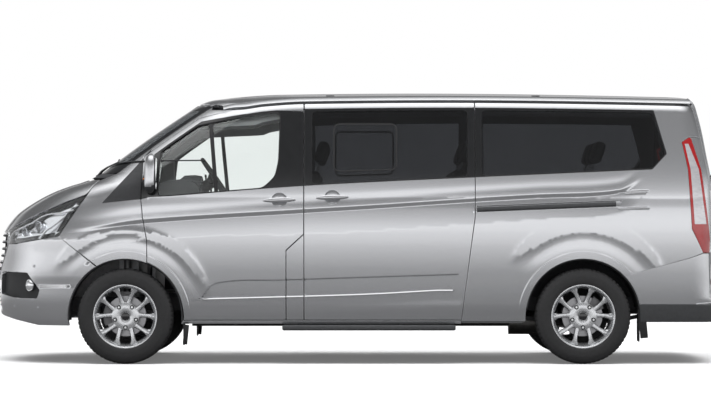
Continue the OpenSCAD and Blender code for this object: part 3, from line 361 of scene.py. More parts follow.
class Skin:
    """Part of a body surface: a smooth sheet with a rolled edge, cut to an outline with holes."""

    def __init__(self, base, outline, holes=(), step=16.0, rails=(), relief=None, to_uv=None, zones=(), edge=12.0):
        self.base, self.relief = base, relief
        conv = (lambda p: np.asarray(to_uv(p))) if to_uv else np.asarray
        loops = [conv(spread(outline, edge))] + [conv(spread(h, edge)) for h in holes]
        self.loops = loops
        inner = [inward(loops[0], 2.4)] + [inward(h, -2.4) for h in loops[1:]]
        pts, edges, ring = [], [], []
        for group, tag in ((loops, 1), (inner, 0)):
            for lp in group:
                n0 = len(pts)
                pts += lp.tolist()
                edges += [(n0 + i, n0 + (i + 1) % len(lp)) for i in range(len(lp))]
                ring += [tag] * len(lp)
        self.zone_loops = []
        for zone, _ in zones:
            lp = conv(spread(zone, edge))
            self.zone_loops.append(lp)
            n0 = len(pts)
            keep = inside(lp, inner[0])
            for h in inner[1:]:
                keep &= ~inside(lp, h)
            index = {}
            for i, ok in enumerate(keep):
                if ok:
                    index[i] = len(pts)
                    pts.append(lp[i].tolist())
                    ring.append(0)
            edges += [(index[i], index[(i + 1) % len(lp)]) for i in index if (i + 1) % len(lp) in index]
        tree_pts = [p for p in pts]
        if len(rails):
            r = conv(np.asarray(rails, float))
            r = r[self._in(r, inner)]
            tree_pts += r.tolist()
            pts += r.tolist()
            ring += [0] * len(r)
        tree = kdtree.KDTree(len(tree_pts))
        for i, p in enumerate(tree_pts):
            tree.insert((p[0], p[1], 0), i)
        tree.balance()
        lo, hi = loops[0].min(0), loops[0].max(0)
        rows = np.arange(lo[1] + step / 2, hi[1], step * 0.9)
        grid = np.array([[x + (k % 2) * step / 2, z] for k, z in enumerate(rows)
                         for x in np.arange(lo[0] + step / 3, hi[0], step)])
        if len(grid):
            grid = grid[self._in(grid, inner)]
            for p in grid:
                if tree.find((p[0], p[1], 0))[2] > step * 0.55:
                    pts.append(p.tolist())
                    ring.append(0)
        out = delaunay_2d_cdt([Vector(p) for p in pts], edges, [], 0, 0.01)
        vs, fs, origins = out[0], out[2], out[3]
        self.uv = np.array([[v.x, v.y] for v in vs])
        tag = np.zeros(len(vs), bool)
        for i, o in enumerate(origins):
            tag[i] = any(k < len(ring) and ring[k] == 1 for k in o)
        self.tag = tag
        tris = np.array([f[:] for f in fs if len(f) == 3], int).reshape(-1, 3)
        mid = self.uv[tris].mean(1)
        ok = self._in(mid, loops)
        self.tris = tris[ok]
        mid = mid[ok]
        self.mats = np.zeros(len(self.tris), int)
        for (_, m), lp in zip(zones, self.zone_loops):
            self.mats[inside(mid, lp)] = m
        self.loop_index = []
        lookup = {k: i for i, o in enumerate(origins) for k in o}
        n0 = 0
        for lp in loops:
            self.loop_index.append([lookup[n0 + i] for i in range(len(lp))])
            n0 += len(lp)
        used = np.unique(self.tris)
        self.used = used

    @staticmethod
    def _in(p, loops):
        ok = inside(p, loops[0])
        for h in loops[1:]:
            ok &= ~inside(p, h)
        return ok

    def place(self, uv, depth=0.0):
        p = self.base(uv)
        n = normals_of(self.base, uv)
        d = depth + (self.relief(p) if self.relief is not None else 0.0)
        return p - n * np.asarray(d, float).reshape(-1, 1) * self.flip

    flip = 1

    def sheet(self, depth, invert=True, mat=0):
        """The sheet alone at a depth, without its relief, facing in if invert is set."""
        n = normals_of(self.base, self.uv)
        v = self.base(self.uv) - n * depth
        s = -1 if invert else 1
        return v, n * s, [t[::-1] if invert else t for t in self.tris.tolist()], [mat] * len(self.tris)

    def build(self, thick, flip=1, round_edge=1.3, back=False):
        """Vertices, normals, faces and materials of the outer sheet and its hem; back adds an inner sheet."""
        uv, tag = self.uv, self.tag
        outer = self.place(uv, np.where(tag, round_edge, 0.0))
        nor = normals_of(lambda q: self.place(q, 0.0), uv) * flip
        verts, norms = [outer], [nor]
        faces = [t if flip > 0 else t[::-1] for t in self.tris.tolist()]
        mats = self.mats.tolist()
        base_n = normals_of(self.base, uv) * flip
        n0 = len(uv)
        for lp, idx in zip(self.loops, self.loop_index):
            idx = np.array(idx)
            hole = lp is not self.loops[0]
            p0 = outer[idx]
            nin = base_n[idx]
            t = thick(p0) if callable(thick) else np.full(len(idx), float(thick))
            deep = p0 - nin * (t - round_edge)[:, None]
            t = np.roll(p0, -1, 0) - np.roll(p0, 1, 0)
            t /= np.maximum(np.linalg.norm(t, axis=1, keepdims=True), 1e-9)
            side = np.cross(t, nin) * area_sign(lp) * (1 if not hole else -1) * flip
            m = len(idx)
            verts += [p0, deep]
            norms += [side, side]
            k = np.arange(m)
            k1 = (k + 1) % m
            turn = area_sign(lp) * (1 if not hole else -1) * flip
            for a, b in zip(k, k1):
                q = [n0 + a, n0 + m + a, n0 + m + b, n0 + b]
                faces.append(q if turn > 0 else q[::-1])
            near = {}
            for ti, tri in enumerate(self.tris):
                for v in tri:
                    near.setdefault(v, self.mats[ti])
            mats += [int(near.get(i, 0)) for i in idx]
            nor[idx] = nor[idx] + side * 0.8
            n0 += 2 * m
        norms[0] = nor / np.maximum(np.linalg.norm(nor, axis=1, keepdims=True), 1e-9)
        out = np.concatenate(verts), np.concatenate(norms), faces, mats
        if back:
            out = joined([out, with_mats(self.sheet(thick), 0)])
            out = out[0], out[1], out[2], mats + self.mats.tolist()
        return out


def mirrored(part):
    v, n, f, m = part
    return v * [1, -1, 1], n * [1, -1, 1], [list(q)[::-1] for q in f], m


def joined(parts):
    vs, ns, fs, ms, k = [], [], [], [], 0
    for v, n, f, m in parts:
        vs.append(v)
        ns.append(n)
        fs += [[i + k for i in q] for q in f]
        ms += list(m)
        k += len(v)
    return np.concatenate(vs), np.concatenate(ns), fs, ms


def with_mats(part, add):
    return part[0], part[1], part[2], [m + add for m in part[3]]


def make(name, part, mats, body, replaced=(), scale=MM, smooth_angle=35):
    """A Blender object from a mesh part. Where a part gives no normals, they come from its faces."""
    v, n, f, m = part
    me = bpy.data.meshes.new(name)
    me.from_pydata((np.asarray(v) * scale).tolist(), [], [list(map(int, q)) for q in f])
    n = np.asarray(n)
    given = ~np.isnan(n).any(1)
    if not given.all():
        bm = bmesh.new()
        bm.from_mesh(me)
        bm.faces.ensure_lookup_table()
        bmesh.ops.recalc_face_normals(bm, faces=[q for q in bm.faces if not given[q.verts[0].index]])
        bm.to_mesh(me)
        bm.free()
    for mat in mats:
        me.materials.append(mat)
    me.polygons.foreach_set("material_index", [min(int(k), len(mats) - 1) for k in m])
    me.polygons.foreach_set("use_smooth", [True] * len(me.polygons))
    me.update()
    me.set_sharp_from_angle(angle=math.radians(smooth_angle))
    if given.any():
        corner = np.empty(len(me.loops) * 3, np.float32)
        me.corner_normals.foreach_get("vector", corner)
        corner = corner.reshape(-1, 3)
        index = np.empty(len(me.loops), int)
        me.loops.foreach_get("vertex_index", index)
        use = given[index]
        corner[use] = n[index[use]]
        me.normals_split_custom_set(corner.tolist())
    ob = bpy.data.objects.new(name, me)
    bpy.context.scene.collection.objects.link(ob)
    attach(ob, body)
    if replaced:
        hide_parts(*replaced)
    return ob


def raw(verts, faces, mat=0):
    """A part whose normals come from its faces."""
    v = np.asarray(verts, float)
    return v, np.full(v.shape, np.nan), [list(q) for q in faces], [mat] * len(faces)


def loft(rings, closed=True, caps=True, mat=0):
    """A part through rings of equal length."""
    n, m = len(rings), len(rings[0])
    verts = [p for r in rings for p in r]
    faces = []
    for i in range(n - 1):
        for j in range(m if closed else m - 1):
            k = (j + 1) % m
            faces.append([i * m + j, i * m + k, (i + 1) * m + k, (i + 1) * m + j])
    if caps and closed:
        faces.append([j for j in range(m)][::-1])
        faces.append([(n - 1) * m + j for j in range(m)])
    return raw(verts, faces, mat)


def box_part(c, size, bevel=3.0, mat=0, rot=None, seg=2):
    """A block with rounded edges, centred at c."""
    bm = bmesh.new()
    bmesh.ops.create_cube(bm, size=1.0)
    bmesh.ops.scale(bm, vec=size, verts=bm.verts)
    b = min(bevel, min(size) * 0.45)
    bmesh.ops.bevel(bm, geom=bm.edges[:], offset=b, segments=seg, affect="EDGES", profile=0.5)
    if rot is not None:
        bmesh.ops.rotate(bm, cent=(0, 0, 0), matrix=rot.to_matrix(), verts=bm.verts)
    bmesh.ops.translate(bm, vec=c, verts=bm.verts)
    bm.verts.index_update()
    out = raw([v.co[:] for v in bm.verts], [[v.index for v in f.verts] for f in bm.faces], mat)
    bm.free()
    return out


def tube(path, r, n=10, mat=0, flat=1.0, closed=False, up=(0, 0, 1)):
    """A round or flattened bar along a path; r may be a list."""
    path = np.array(path, float)
    k = len(path)
    rs = np.broadcast_to(np.asarray(r, float), (k,))
    d = np.gradient(path, axis=0) if not closed else np.roll(path, -1, 0) - np.roll(path, 1, 0)
    d /= np.maximum(np.linalg.norm(d, axis=1, keepdims=True), 1e-9)
    up = np.array(up, float)
    rings = []
    for p, t, q in zip(path, d, rs):
        s = np.cross(t, up)
        if np.linalg.norm(s) < 1e-3:
            s = np.cross(t, [1, 0, 0])
        s /= np.linalg.norm(s)
        w = np.cross(s, t)
        rings.append([p + q * (s * math.cos(a) * flat + w * math.sin(a)) for a in np.linspace(0, 2 * np.pi, n, endpoint=False)])
    if closed:
        rings.append(rings[0])
        return loft(rings, True, False, mat)
    return loft(rings, True, True, mat)


def lathe(profile, n=96, axis="Y", centre=(0, 0, 0), mat=0, mats=None, phase=0.0, bump=None):
    """Turns [radius, height] points about an axis. bump(row, angle) changes a radius."""
    verts, faces, ms = [], [], []
    m = len(profile)
    for i in range(n):
        a = 2 * np.pi * i / n + phase
        for j, (r, h) in enumerate(profile):
            q = r + (bump(j, a) if bump else 0)
            verts.append([q * math.cos(a), h, q * math.sin(a)])
    for i in range(n):
        i2 = (i + 1) % n
        for j in range(m - 1):
            faces.append([i * m + j, i * m + j + 1, i2 * m + j + 1, i2 * m + j])
            ms.append(mats[j] if mats else mat)
    v = np.array(verts)
    if axis == "X":
        v = v[:, [1, 0, 2]]
        faces = [q[::-1] for q in faces]
    if axis == "Z":
        v = v[:, [0, 2, 1]]
        faces = [q[::-1] for q in faces]
    v = v + np.array(centre, float)
    return v, np.full(v.shape, np.nan), faces, ms


def moved(part, matrix):
    v = np.array([(matrix @ Vector(p))[:] for p in part[0]])
    f = part[2]
    if matrix.to_3x3().determinant() < 0:
        f = [q[::-1] for q in f]
    return v, np.full(v.shape, np.nan), f, part[3]


def flat_plate(outline, holes, place, thick, step=18.0, mat=0, bevel=1.5):
    """A plate cut to an outline, laid by place([u, v])."""
    skin = Skin(lambda uv: place(uv), outline, holes, step=step, edge=step * 0.7)
    return with_mats(skin.build(thick, round_edge=bevel), mat)


# ---- Materials ------------------------------------------------------------------------------
def material(name, color, rough=0.5, metal=0.0, vary=0.05, scale=30.0, bump=0.0, bump_scale=None, coat=0.0,
             coat_rough=0.05, spec=0.5, sheen=0.0, transmission=0.0, ior=1.45, rough_vary=0.06, emission=None,
             stretch=(1, 1, 1), kind="noise", hollow_darkening=0.0):
    """A procedural material: colour and roughness wander with noise, with an optional fine bump."""
    m = bpy.data.materials.new(name)
    m.use_nodes = True
    nt = m.node_tree
    bsdf = nt.nodes["Principled BSDF"]
    link = nt.links.new
    co = nt.nodes.new("ShaderNodeTexCoord")
    mp = nt.nodes.new("ShaderNodeMapping")
    mp.inputs["Scale"].default_value = stretch
    link(co.outputs["Object"], mp.inputs["Vector"])
    tex = nt.nodes.new("ShaderNodeTexNoise")
    tex.inputs["Scale"].default_value = scale
    tex.inputs["Detail"].default_value = 4
    link(mp.outputs["Vector"], tex.inputs["Vector"])
    rp = nt.nodes.new("ShaderNodeValToRGB")
    c = np.array(color, float)
    rp.color_ramp.elements[0].position = 0.3
    rp.color_ramp.elements[1].position = 0.7
    rp.color_ramp.elements[0].color = (*np.clip(c * (1 - vary), 0, 1), 1)
    rp.color_ramp.elements[1].color = (*np.clip(c * (1 + vary), 0, 1), 1)
    link(tex.outputs["Fac"], rp.inputs["Fac"])
    out_color = rp.outputs["Color"]
    # Darker where the surface is hollow: where the mesh's pointiness is low, the base colour is cut by up to this
    # amount.
    if hollow_darkening:
        geo = nt.nodes.new("ShaderNodeNewGeometry")
        dr = nt.nodes.new("ShaderNodeValToRGB")
        dr.color_ramp.elements[0].position = 0.42
        dr.color_ramp.elements[1].position = 0.55
        dr.color_ramp.elements[0].color = (1 - hollow_darkening, 1 - hollow_darkening, 1 - hollow_darkening, 1)
        dr.color_ramp.elements[1].color = (1, 1, 1, 1)
        link(geo.outputs["Pointiness"], dr.inputs["Fac"])
        mx = nt.nodes.new("ShaderNodeMix")
        mx.data_type = "RGBA"
        mx.blend_type = "MULTIPLY"
        mx.inputs["Factor"].default_value = 1.0
        link(out_color, mx.inputs["A"])
        link(dr.outputs["Color"], mx.inputs["B"])
        out_color = mx.outputs["Result"]
    link(out_color, bsdf.inputs["Base Color"])
    mr = nt.nodes.new("ShaderNodeMapRange")
    mr.inputs["To Min"].default_value = max(0.0, rough - rough_vary)
    mr.inputs["To Max"].default_value = min(1.0, rough + rough_vary)
    link(tex.outputs["Fac"], mr.inputs["Value"])
    link(mr.outputs["Result"], bsdf.inputs["Roughness"])
    bsdf.inputs["Metallic"].default_value = metal
    bsdf.inputs["Specular IOR Level"].default_value = spec
    bsdf.inputs["IOR"].default_value = ior
    bsdf.inputs["Coat Weight"].default_value = coat
    bsdf.inputs["Coat Roughness"].default_value = coat_rough
    bsdf.inputs["Sheen Weight"].default_value = sheen
    bsdf.inputs["Transmission Weight"].default_value = transmission
    if emission:
        bsdf.inputs["Emission Color"].default_value = (*emission[:3], 1)
        bsdf.inputs["Emission Strength"].default_value = emission[3]
    if bump:
        if kind == "weave":
            wa, wb = nt.nodes.new("ShaderNodeTexWave"), nt.nodes.new("ShaderNodeTexWave")
            wa.bands_direction, wb.bands_direction = "Y", "DIAGONAL"
            for w in (wa, wb):
                w.inputs["Scale"].default_value = bump_scale
                w.inputs["Distortion"].default_value = 0.6
                link(mp.outputs["Vector"], w.inputs["Vector"])
            ad = nt.nodes.new("ShaderNodeMath")
            ad.operation = "MULTIPLY"
            link(wa.outputs["Fac"], ad.inputs[0])
            link(wb.outputs["Fac"], ad.inputs[1])
            height = ad.outputs[0]
        elif kind == "grain":
            vo = nt.nodes.new("ShaderNodeTexVoronoi")
            vo.inputs["Scale"].default_value = bump_scale
            link(mp.outputs["Vector"], vo.inputs["Vector"])
            height = vo.outputs["Distance"]
        else:
            no = nt.nodes.new("ShaderNodeTexNoise")
            no.inputs["Scale"].default_value = bump_scale or scale * 8
            no.inputs["Detail"].default_value = 3
            link(mp.outputs["Vector"], no.inputs["Vector"])
            height = no.outputs["Fac"]
        bp = nt.nodes.new("ShaderNodeBump")
        bp.inputs["Strength"].default_value = bump
        bp.inputs["Distance"].default_value = 0.002
        link(height, bp.inputs["Height"])
        link(bp.outputs["Normal"], bsdf.inputs["Normal"])
    return m


PAINT = material("paint", (0.55, 0.557, 0.575), 0.235, 0.88, 0.035, 900, 0.012, 2600, coat=1.0, coat_rough=0.03,
                 rough_vary=0.03)
PAINT_DARK = material("paint_inner", (0.30, 0.305, 0.315), 0.45, 0.5, 0.04, 60, 0.02, 500)
PLASTIC = material("black_moulding", (0.028, 0.029, 0.031), 0.55, 0, 0.12, 60, 0.12, 1400, kind="grain")
GREY_PLASTIC = material("grey_moulding", (0.055, 0.057, 0.06), 0.6, 0, 0.1, 50, 0.15, 1200, kind="grain")
GLOSS = material("gloss_black", (0.012, 0.0125, 0.0135), 0.12, 0, 0.1, 20, coat=0.4, rough_vary=0.03)
RUBBER = material("seal_rubber", (0.018, 0.018, 0.019), 0.7, 0, 0.12, 80, 0.15, 900)
TYRE = material("tyre_rubber", (0.026, 0.026, 0.027), 0.72, 0, 0.14, 45, 0.2, 700)
# The alloy is made darker in its hollows, by the mesh's pointiness.
ALLOY = material("alloy_silver", (0.62, 0.63, 0.645), 0.27, 0.85, 0.03, 120, 0.01, 900, coat=0.5, coat_rough=0.08,
                 hollow_darkening=0.25)
CHROME = material("bright_trim", (0.78, 0.79, 0.8), 0.12, 1.0, 0.02, 40, rough_vary=0.04)
STEEL = material("chassis_steel", (0.05, 0.051, 0.054), 0.55, 0.3, 0.25, 9, 0.2, 160)
CAST = material("cast_metal", (0.2, 0.2, 0.205), 0.5, 0.8, 0.2, 25, 0.3, 260)
DISC = material("disc_steel", (0.33, 0.33, 0.34), 0.3, 1.0, 0.1, 14, 0.08, 420, stretch=(1, 6, 1))
PIPE = material("pipe_steel", (0.28, 0.27, 0.26), 0.45, 0.9, 0.2, 12, 0.1, 240)
CARPET = material("floor_carpet", (0.035, 0.036, 0.038), 0.95, 0, 0.25, 120, 0.6, 1500, sheen=0.2)
TRIM = material("cabin_trim", (0.09, 0.092, 0.098), 0.65, 0, 0.08, 50, 0.2, 1300, kind="grain")
LINER = material("headliner", (0.42, 0.415, 0.40), 0.95, 0, 0.05, 60, 0.3, 1700, sheen=0.15)
FABRIC = material("seat_cloth", (0.062, 0.064, 0.07), 0.9, 0, 0.22, 260, 0.45, 420, sheen=0.35, kind="weave")
LEATHER = material("wheel_leather", (0.03, 0.03, 0.032), 0.5, 0, 0.12, 60, 0.25, 900, kind="grain")
GLASS_CLEAR = material("clear_glass", (0.93, 0.96, 0.95), 0.0, 0, 0.01, 3, transmission=1.0, rough_vary=0.0, ior=1.45)
# The windscreen's dark tint is painted shade: it darkens the glass, seen almost edge-on, in place of the shade and
# reflections there.
GLASS_SCREEN_SHADED = material("screen_glass", (0.16, 0.17, 0.18), 0.0, 0, 0.01, 3, transmission=1.0, rough_vary=0.0, ior=1.45)
GLASS_DARK = material("privacy_glass", (0.15, 0.155, 0.165), 0.0, 0, 0.03, 3, transmission=1.0, rough_vary=0.0, ior=1.5)
LENS = material("lamp_lens", (0.96, 0.97, 0.98), 0.01, 0, 0.01, 5, transmission=1.0, rough_vary=0.01, ior=1.4)
LENS_RED = material("red_lens", (0.42, 0.012, 0.014), 0.14, 0, 0.1, 90, 0.3, 260, coat=1.0, transmission=0.25)
LENS_AMBER = material("amber_lens", (0.8, 0.22, 0.02), 0.15, 0, 0.1, 90, 0.2, 300, coat=0.8)
# Lamp chrome with a faint painted glow: its small emission brightens the lamps' inner parts.
LAMP_PAINTED_GLOW = material("lamp_painted_glow", (0.80, 0.81, 0.83), 0.18, 0.9, 0.04, 40, 0.1, 500, emission=(1, 1, 1, 0.06))
REFLECTOR = material("lamp_reflector", (0.55, 0.56, 0.58), 0.16, 1.0, 0.1, 30, 0.2, 240)
PLATE = material("blank_plate", (0.62, 0.62, 0.6), 0.4, 0, 0.03, 20, 0.05, 400)
MIRROR = material("mirror_glass", (0.85, 0.86, 0.87), 0.02, 1.0, 0.01, 3, rough_vary=0.01)
SCREEN = material("display_dark", (0.01, 0.012, 0.015), 0.08, 0, 0.1, 8, coat=0.6, rough_vary=0.02)

CAD_LOOKS = {
    "roof_frame": TRIM, "body_frame_front": PAINT_DARK, "body_frame_rear": PAINT_DARK, "floor_pan": CARPET, "bulkhead": PAINT_DARK,
    "wheel_arch_liners": PLASTIC, "chassis_rails": STEEL, "engine_block": CAST, "fuel_tank": PLASTIC,
    "front_subframe": STEEL, "rear_axle": STEEL, "leaf_springs": STEEL, "knuckle_left": CAST,
    "knuckle_right": CAST, "steering_column": PLASTIC, "strut_towers": PAINT_DARK, "rear_portal": PAINT_DARK,
    "radiator_panel": STEEL, "seals": RUBBER, "exhaust": PIPE,
}
for name, mat in CAD_LOOKS.items():
    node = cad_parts[name]
    for s in range(len(node.material_slots)):
        node.material_slots[s].material = mat


# ---- Stage, light and camera ----------------------------------------------------------------
def stage():
    scene = bpy.context.scene
    scene.view_settings.view_transform = "Standard"
    me = bpy.data.meshes.new("floor")
    me.from_pydata([(-60, -60, 0), (60, -60, 0), (60, 60, 0), (-60, 60, 0)], [], [(0, 1, 2, 3)])
    floor = bpy.data.objects.new("floor", me)
    scene.collection.objects.link(floor)
    mat = material("floor_pale", (0.78, 0.78, 0.79), 0.9, 0, 0.01, 2)
    nt = mat.node_tree
    bsdf = nt.nodes["Principled BSDF"]
    bsdf.inputs["Specular IOR Level"].default_value = 0.1
    path = nt.nodes.new("ShaderNodeLightPath")
    # Painted shade: for every ray but the camera's, the floor's colour is cut to 0.17 of itself, so the floor shows
    # dark in the paint's reflections and throws back less light.
    shade = nt.nodes.new("ShaderNodeMix")
    shade.data_type = "RGBA"
    shade.blend_type = "MULTIPLY"
    dim = nt.nodes.new("ShaderNodeMapRange")
    dim.inputs["To Min"].default_value = 0.17
    nt.links.new(path.outputs["Is Camera Ray"], dim.inputs["Value"])
    old = bsdf.inputs["Base Color"].links[0].from_socket
    shade.inputs["Factor"].default_value = 1.0
    nt.links.new(old, shade.inputs["A"])
    nt.links.new(dim.outputs[0], shade.inputs["B"])
    nt.links.new(shade.outputs["Result"], bsdf.inputs["Base Color"])
    glow = nt.nodes.new("ShaderNodeEmission")
    add = nt.nodes.new("ShaderNodeAddShader")
    where = nt.nodes.new("ShaderNodeNewGeometry")
    away = nt.nodes.new("ShaderNodeVectorMath")
    away.operation = "LENGTH"
    reach = nt.nodes.new("ShaderNodeMapRange")
    reach.inputs["From Min"].default_value = 6.0
    reach.inputs["From Max"].default_value = 17.0
    reach.inputs["To Max"].default_value = 1.15
    seen = nt.nodes.new("ShaderNodeMix")
    seen.inputs["B"].default_value = 0.13
    nt.links.new(where.outputs["Position"], away.inputs[0])
    nt.links.new(away.outputs["Value"], reach.inputs["Value"])
    nt.links.new(path.outputs["Is Camera Ray"], seen.inputs["Factor"])
    nt.links.new(reach.outputs[0], seen.inputs["A"])
    nt.links.new(seen.outputs[0], glow.inputs["Strength"])
    nt.links.new(bsdf.outputs[0], add.inputs[0])
    nt.links.new(glow.outputs[0], add.inputs[1])
    nt.links.new(add.outputs[0], nt.nodes["Material Output"].inputs["Surface"])
    me.materials.append(mat)

    world = bpy.data.worlds.new("studio")
    scene.world = world
    world.use_nodes = True
    nt = world.node_tree
    nt.nodes.clear()
    out = nt.nodes.new("ShaderNodeOutputWorld")
    path = nt.nodes.new("ShaderNodeLightPath")
    co = nt.nodes.new("ShaderNodeTexCoord")
    sep = nt.nodes.new("ShaderNodeSeparateXYZ")
    nt.links.new(co.outputs["Generated"], sep.inputs[0])
    grad = nt.nodes.new("ShaderNodeValToRGB")
    grad.color_ramp.interpolation = "EASE"
    for at, v in ((0.0, 0.05), (0.47, 0.12), (0.497, 0.5), (0.51, 0.8), (0.54, 0.74), (0.58, 0.68), (0.62, 0.32), (0.69, 0.11),
                  (0.8, 0.08), (1.0, 0.12)):
        e = grad.color_ramp.elements[0] if at == 0.0 else (
            grad.color_ramp.elements[1] if at == 1.0 else grad.color_ramp.elements.new(at))
        e.color = (v, v, v * 1.01, 1)
    mr = nt.nodes.new("ShaderNodeMapRange")
    mr.inputs["From Min"].default_value = -1
    nt.links.new(sep.outputs["Z"], mr.inputs["Value"])
    nt.links.new(mr.outputs[0], grad.inputs["Fac"])
    soft = nt.nodes.new("ShaderNodeBackground")
    soft.inputs["Strength"].default_value = 2.1
    far = nt.nodes.new("ShaderNodeMapRange")
    far.inputs["From Min"].default_value = -0.1
    far.inputs["From Max"].default_value = 0.5
    far.inputs["To Min"].default_value = 1.0
    far.inputs["To Max"].default_value = 0.34
    nt.links.new(sep.outputs["Y"], far.inputs["Value"])
    both = nt.nodes.new("ShaderNodeMix")
    both.data_type = "RGBA"
    both.blend_type = "MULTIPLY"
    both.inputs["Factor"].default_value = 1.0
    nt.links.new(grad.outputs["Color"], both.inputs["A"])
    nt.links.new(far.outputs[0], both.inputs["B"])
    nt.links.new(both.outputs["Result"], soft.inputs["Color"])
    white = nt.nodes.new("ShaderNodeBackground")
    white.inputs["Color"].default_value = (1, 1, 1, 1)
    either = nt.nodes.new("ShaderNodeMath")
    either.operation = "MAXIMUM"
    nt.links.new(path.outputs["Is Camera Ray"], either.inputs[0])
    nt.links.new(path.outputs["Is Transmission Ray"], either.inputs[1])
    mix = nt.nodes.new("ShaderNodeMixShader")
    nt.links.new(either.outputs[0], mix.inputs["Fac"])
    nt.links.new(soft.outputs[0], mix.inputs[1])
    nt.links.new(white.outputs[0], mix.inputs[2])
    nt.links.new(mix.outputs[0], out.inputs["Surface"])

    def softbox(name, at, aim, size, power):
        light = bpy.data.lights.new(name, "AREA")
        light.shape = "RECTANGLE"
        light.size, light.size_y = size
        light.energy = power
        ob = bpy.data.objects.new(name, light)
        ob.location = at
        ob.rotation_euler = (Vector(aim) - Vector(at)).to_track_quat("-Z", "Y").to_euler()
        ob.visible_glossy = False
        scene.collection.objects.link(ob)

    softbox("top_box", (0, -1.0, 8.5), (0, 0, 0), (12, 7), 900)
    softbox("near_box", (0, -9.5, 11.5), (0, 0, 0.8), (16, 5), 900)
    softbox("far_box", (0, 12.0, 8.0), (0, 0, 0.8), (16, 4), 500)

    cam = bpy.data.cameras.new("camera")
    cam.sensor_width = 36.0
    cam.lens = 146.55
    cam.shift_y = 0.0323
    cam.clip_end = 200
    ob = bpy.data.objects.new("camera", cam)
    ob.location = (0, -21.81, 1.011)
    ob.rotation_euler = (math.pi / 2, 0, 0)
    scene.collection.objects.link(ob)
    scene.camera = ob


stage()


# ---- Relief of the side: creases, arches and recesses, as depth below the CAD surface --------
CREASE = [[-2100, 975], [-1944, 988], [-1534, 1046], [-374, 1121], [36, 1146], [756, 1194], [1300, 1227],
          [1900, 1262], [2060, 1350]]
STRIP = [[-1122, 469], [32, 502], [587, 532]]
SCOOP_TOP = [[-1122, 476], [-1006, 585], [-510, 610], [745, 651]]
HANDLES = [[-548, 1184], [-166, 1203]]
RAIL_X0, RAIL_X1 = C_X + 6, 1911.0


def rail_z(x):
    return 1118 + (np.asarray(x) - 873) * 0.039


def bump_at(d, width):
    return np.exp(-(d / width) ** 2)


def side_relief(p):
    x, z = p[:, 0], p[:, 2]
    depth = np.zeros(len(p))
    # Shoulder crease: a sharp undercut, then a long return.
    d = smooth(CREASE, x) - z
    fade = ramp(x, -2150, -1500) * (1 - ramp(x, 1880, 2080))
    reach = 118 + 40 * ramp(x, -1400, 200) - 20 * ramp(x, 900, 1900)
    scoop = np.where(d < 0, 0, np.where(d < 34, 11 * ramp(d, 0, 34), 11 * np.clip(1 - (d - 34) / reach, 0, 1)))
    lip = -0.0 + 2.2 * bump_at(d + 46, 30)
    depth += (scoop + lip) * fade
    # The lower body stands back from the wheel arch flares.
    for cx, r0, r1, lo, hi, lift in ((FX, 586, 640, 10, 150, 1.0), (RX, 612, 684, 22, 146, 1.0)):
        dx, dz = x - cx, z - TYRE_R
        r = np.hypot(dx, dz)
        ang = np.degrees(np.arctan2(dz, dx))
        arc_fade = ramp(ang, lo, lo + 22) * (1 - ramp(ang, hi - 24, hi)) * (z < 1075)
        ridge = bump_at(r - (r0 + r1) / 2, 30) * arc_fade
        depth -= 7.0 * ridge * lift
        inner = 1 - ramp(r, r0 - 60, r0 + 10)
        flare = inner * ramp(r, 468, 560)
        depth += 3.5 * flare * arc_fade
        lipz = (r < 470)
        depth -= np.where(lipz, 4.5 * ramp(-r, -470, -462), 0)
    low = 5.0 * (1 - ramp(z, 430, 1000)) * ramp(z, 290, 420)
    depth += np.maximum(low, 0) + 16.0 * (1 - ramp(z, 305, 432))
    # Recess above the bright strip.
    top = smooth(SCOOP_TOP, x)
    base = smooth(STRIP, x)
    within = (x > -1122) & (x < 745 - (651 - z) * 0.9)
    rec = within * ramp(top - z, 0, 6) * ramp(z - base, -2, 3)
    depth += 13.0 * rec
    depth += 3.0 * (x > -1180) * (x < 760) * ramp(base - z, 0, 8) * (1 - ramp(base - z, 60, 130))
    # Cups behind the door handles.
    for hx, hz in HANDLES:
        r = np.hypot((x - hx) / 1.08, z - hz)
        depth += 11.0 * np.sqrt(np.clip(1 - (r / 50.0) ** 2, 0, 1)) * (r < 50)
    # Rail of the sliding door and the outline of its cover.
    dz = z - rail_z(x)
    slot = (x > RAIL_X0 - 40) & (x < RAIL_X1)
    depth += 13.0 * slot * ramp(dz, -23, -19) * (1 - ramp(dz, 19, 23))
    cover = np.maximum(np.abs(x - (C_X + 580)) - 665, np.abs(dz - 22) - 58)
    depth += 2.2 * (x > RAIL_X1 - 12) * bump_at(cover, 5)
    return np.clip(depth, -0.2, 40)


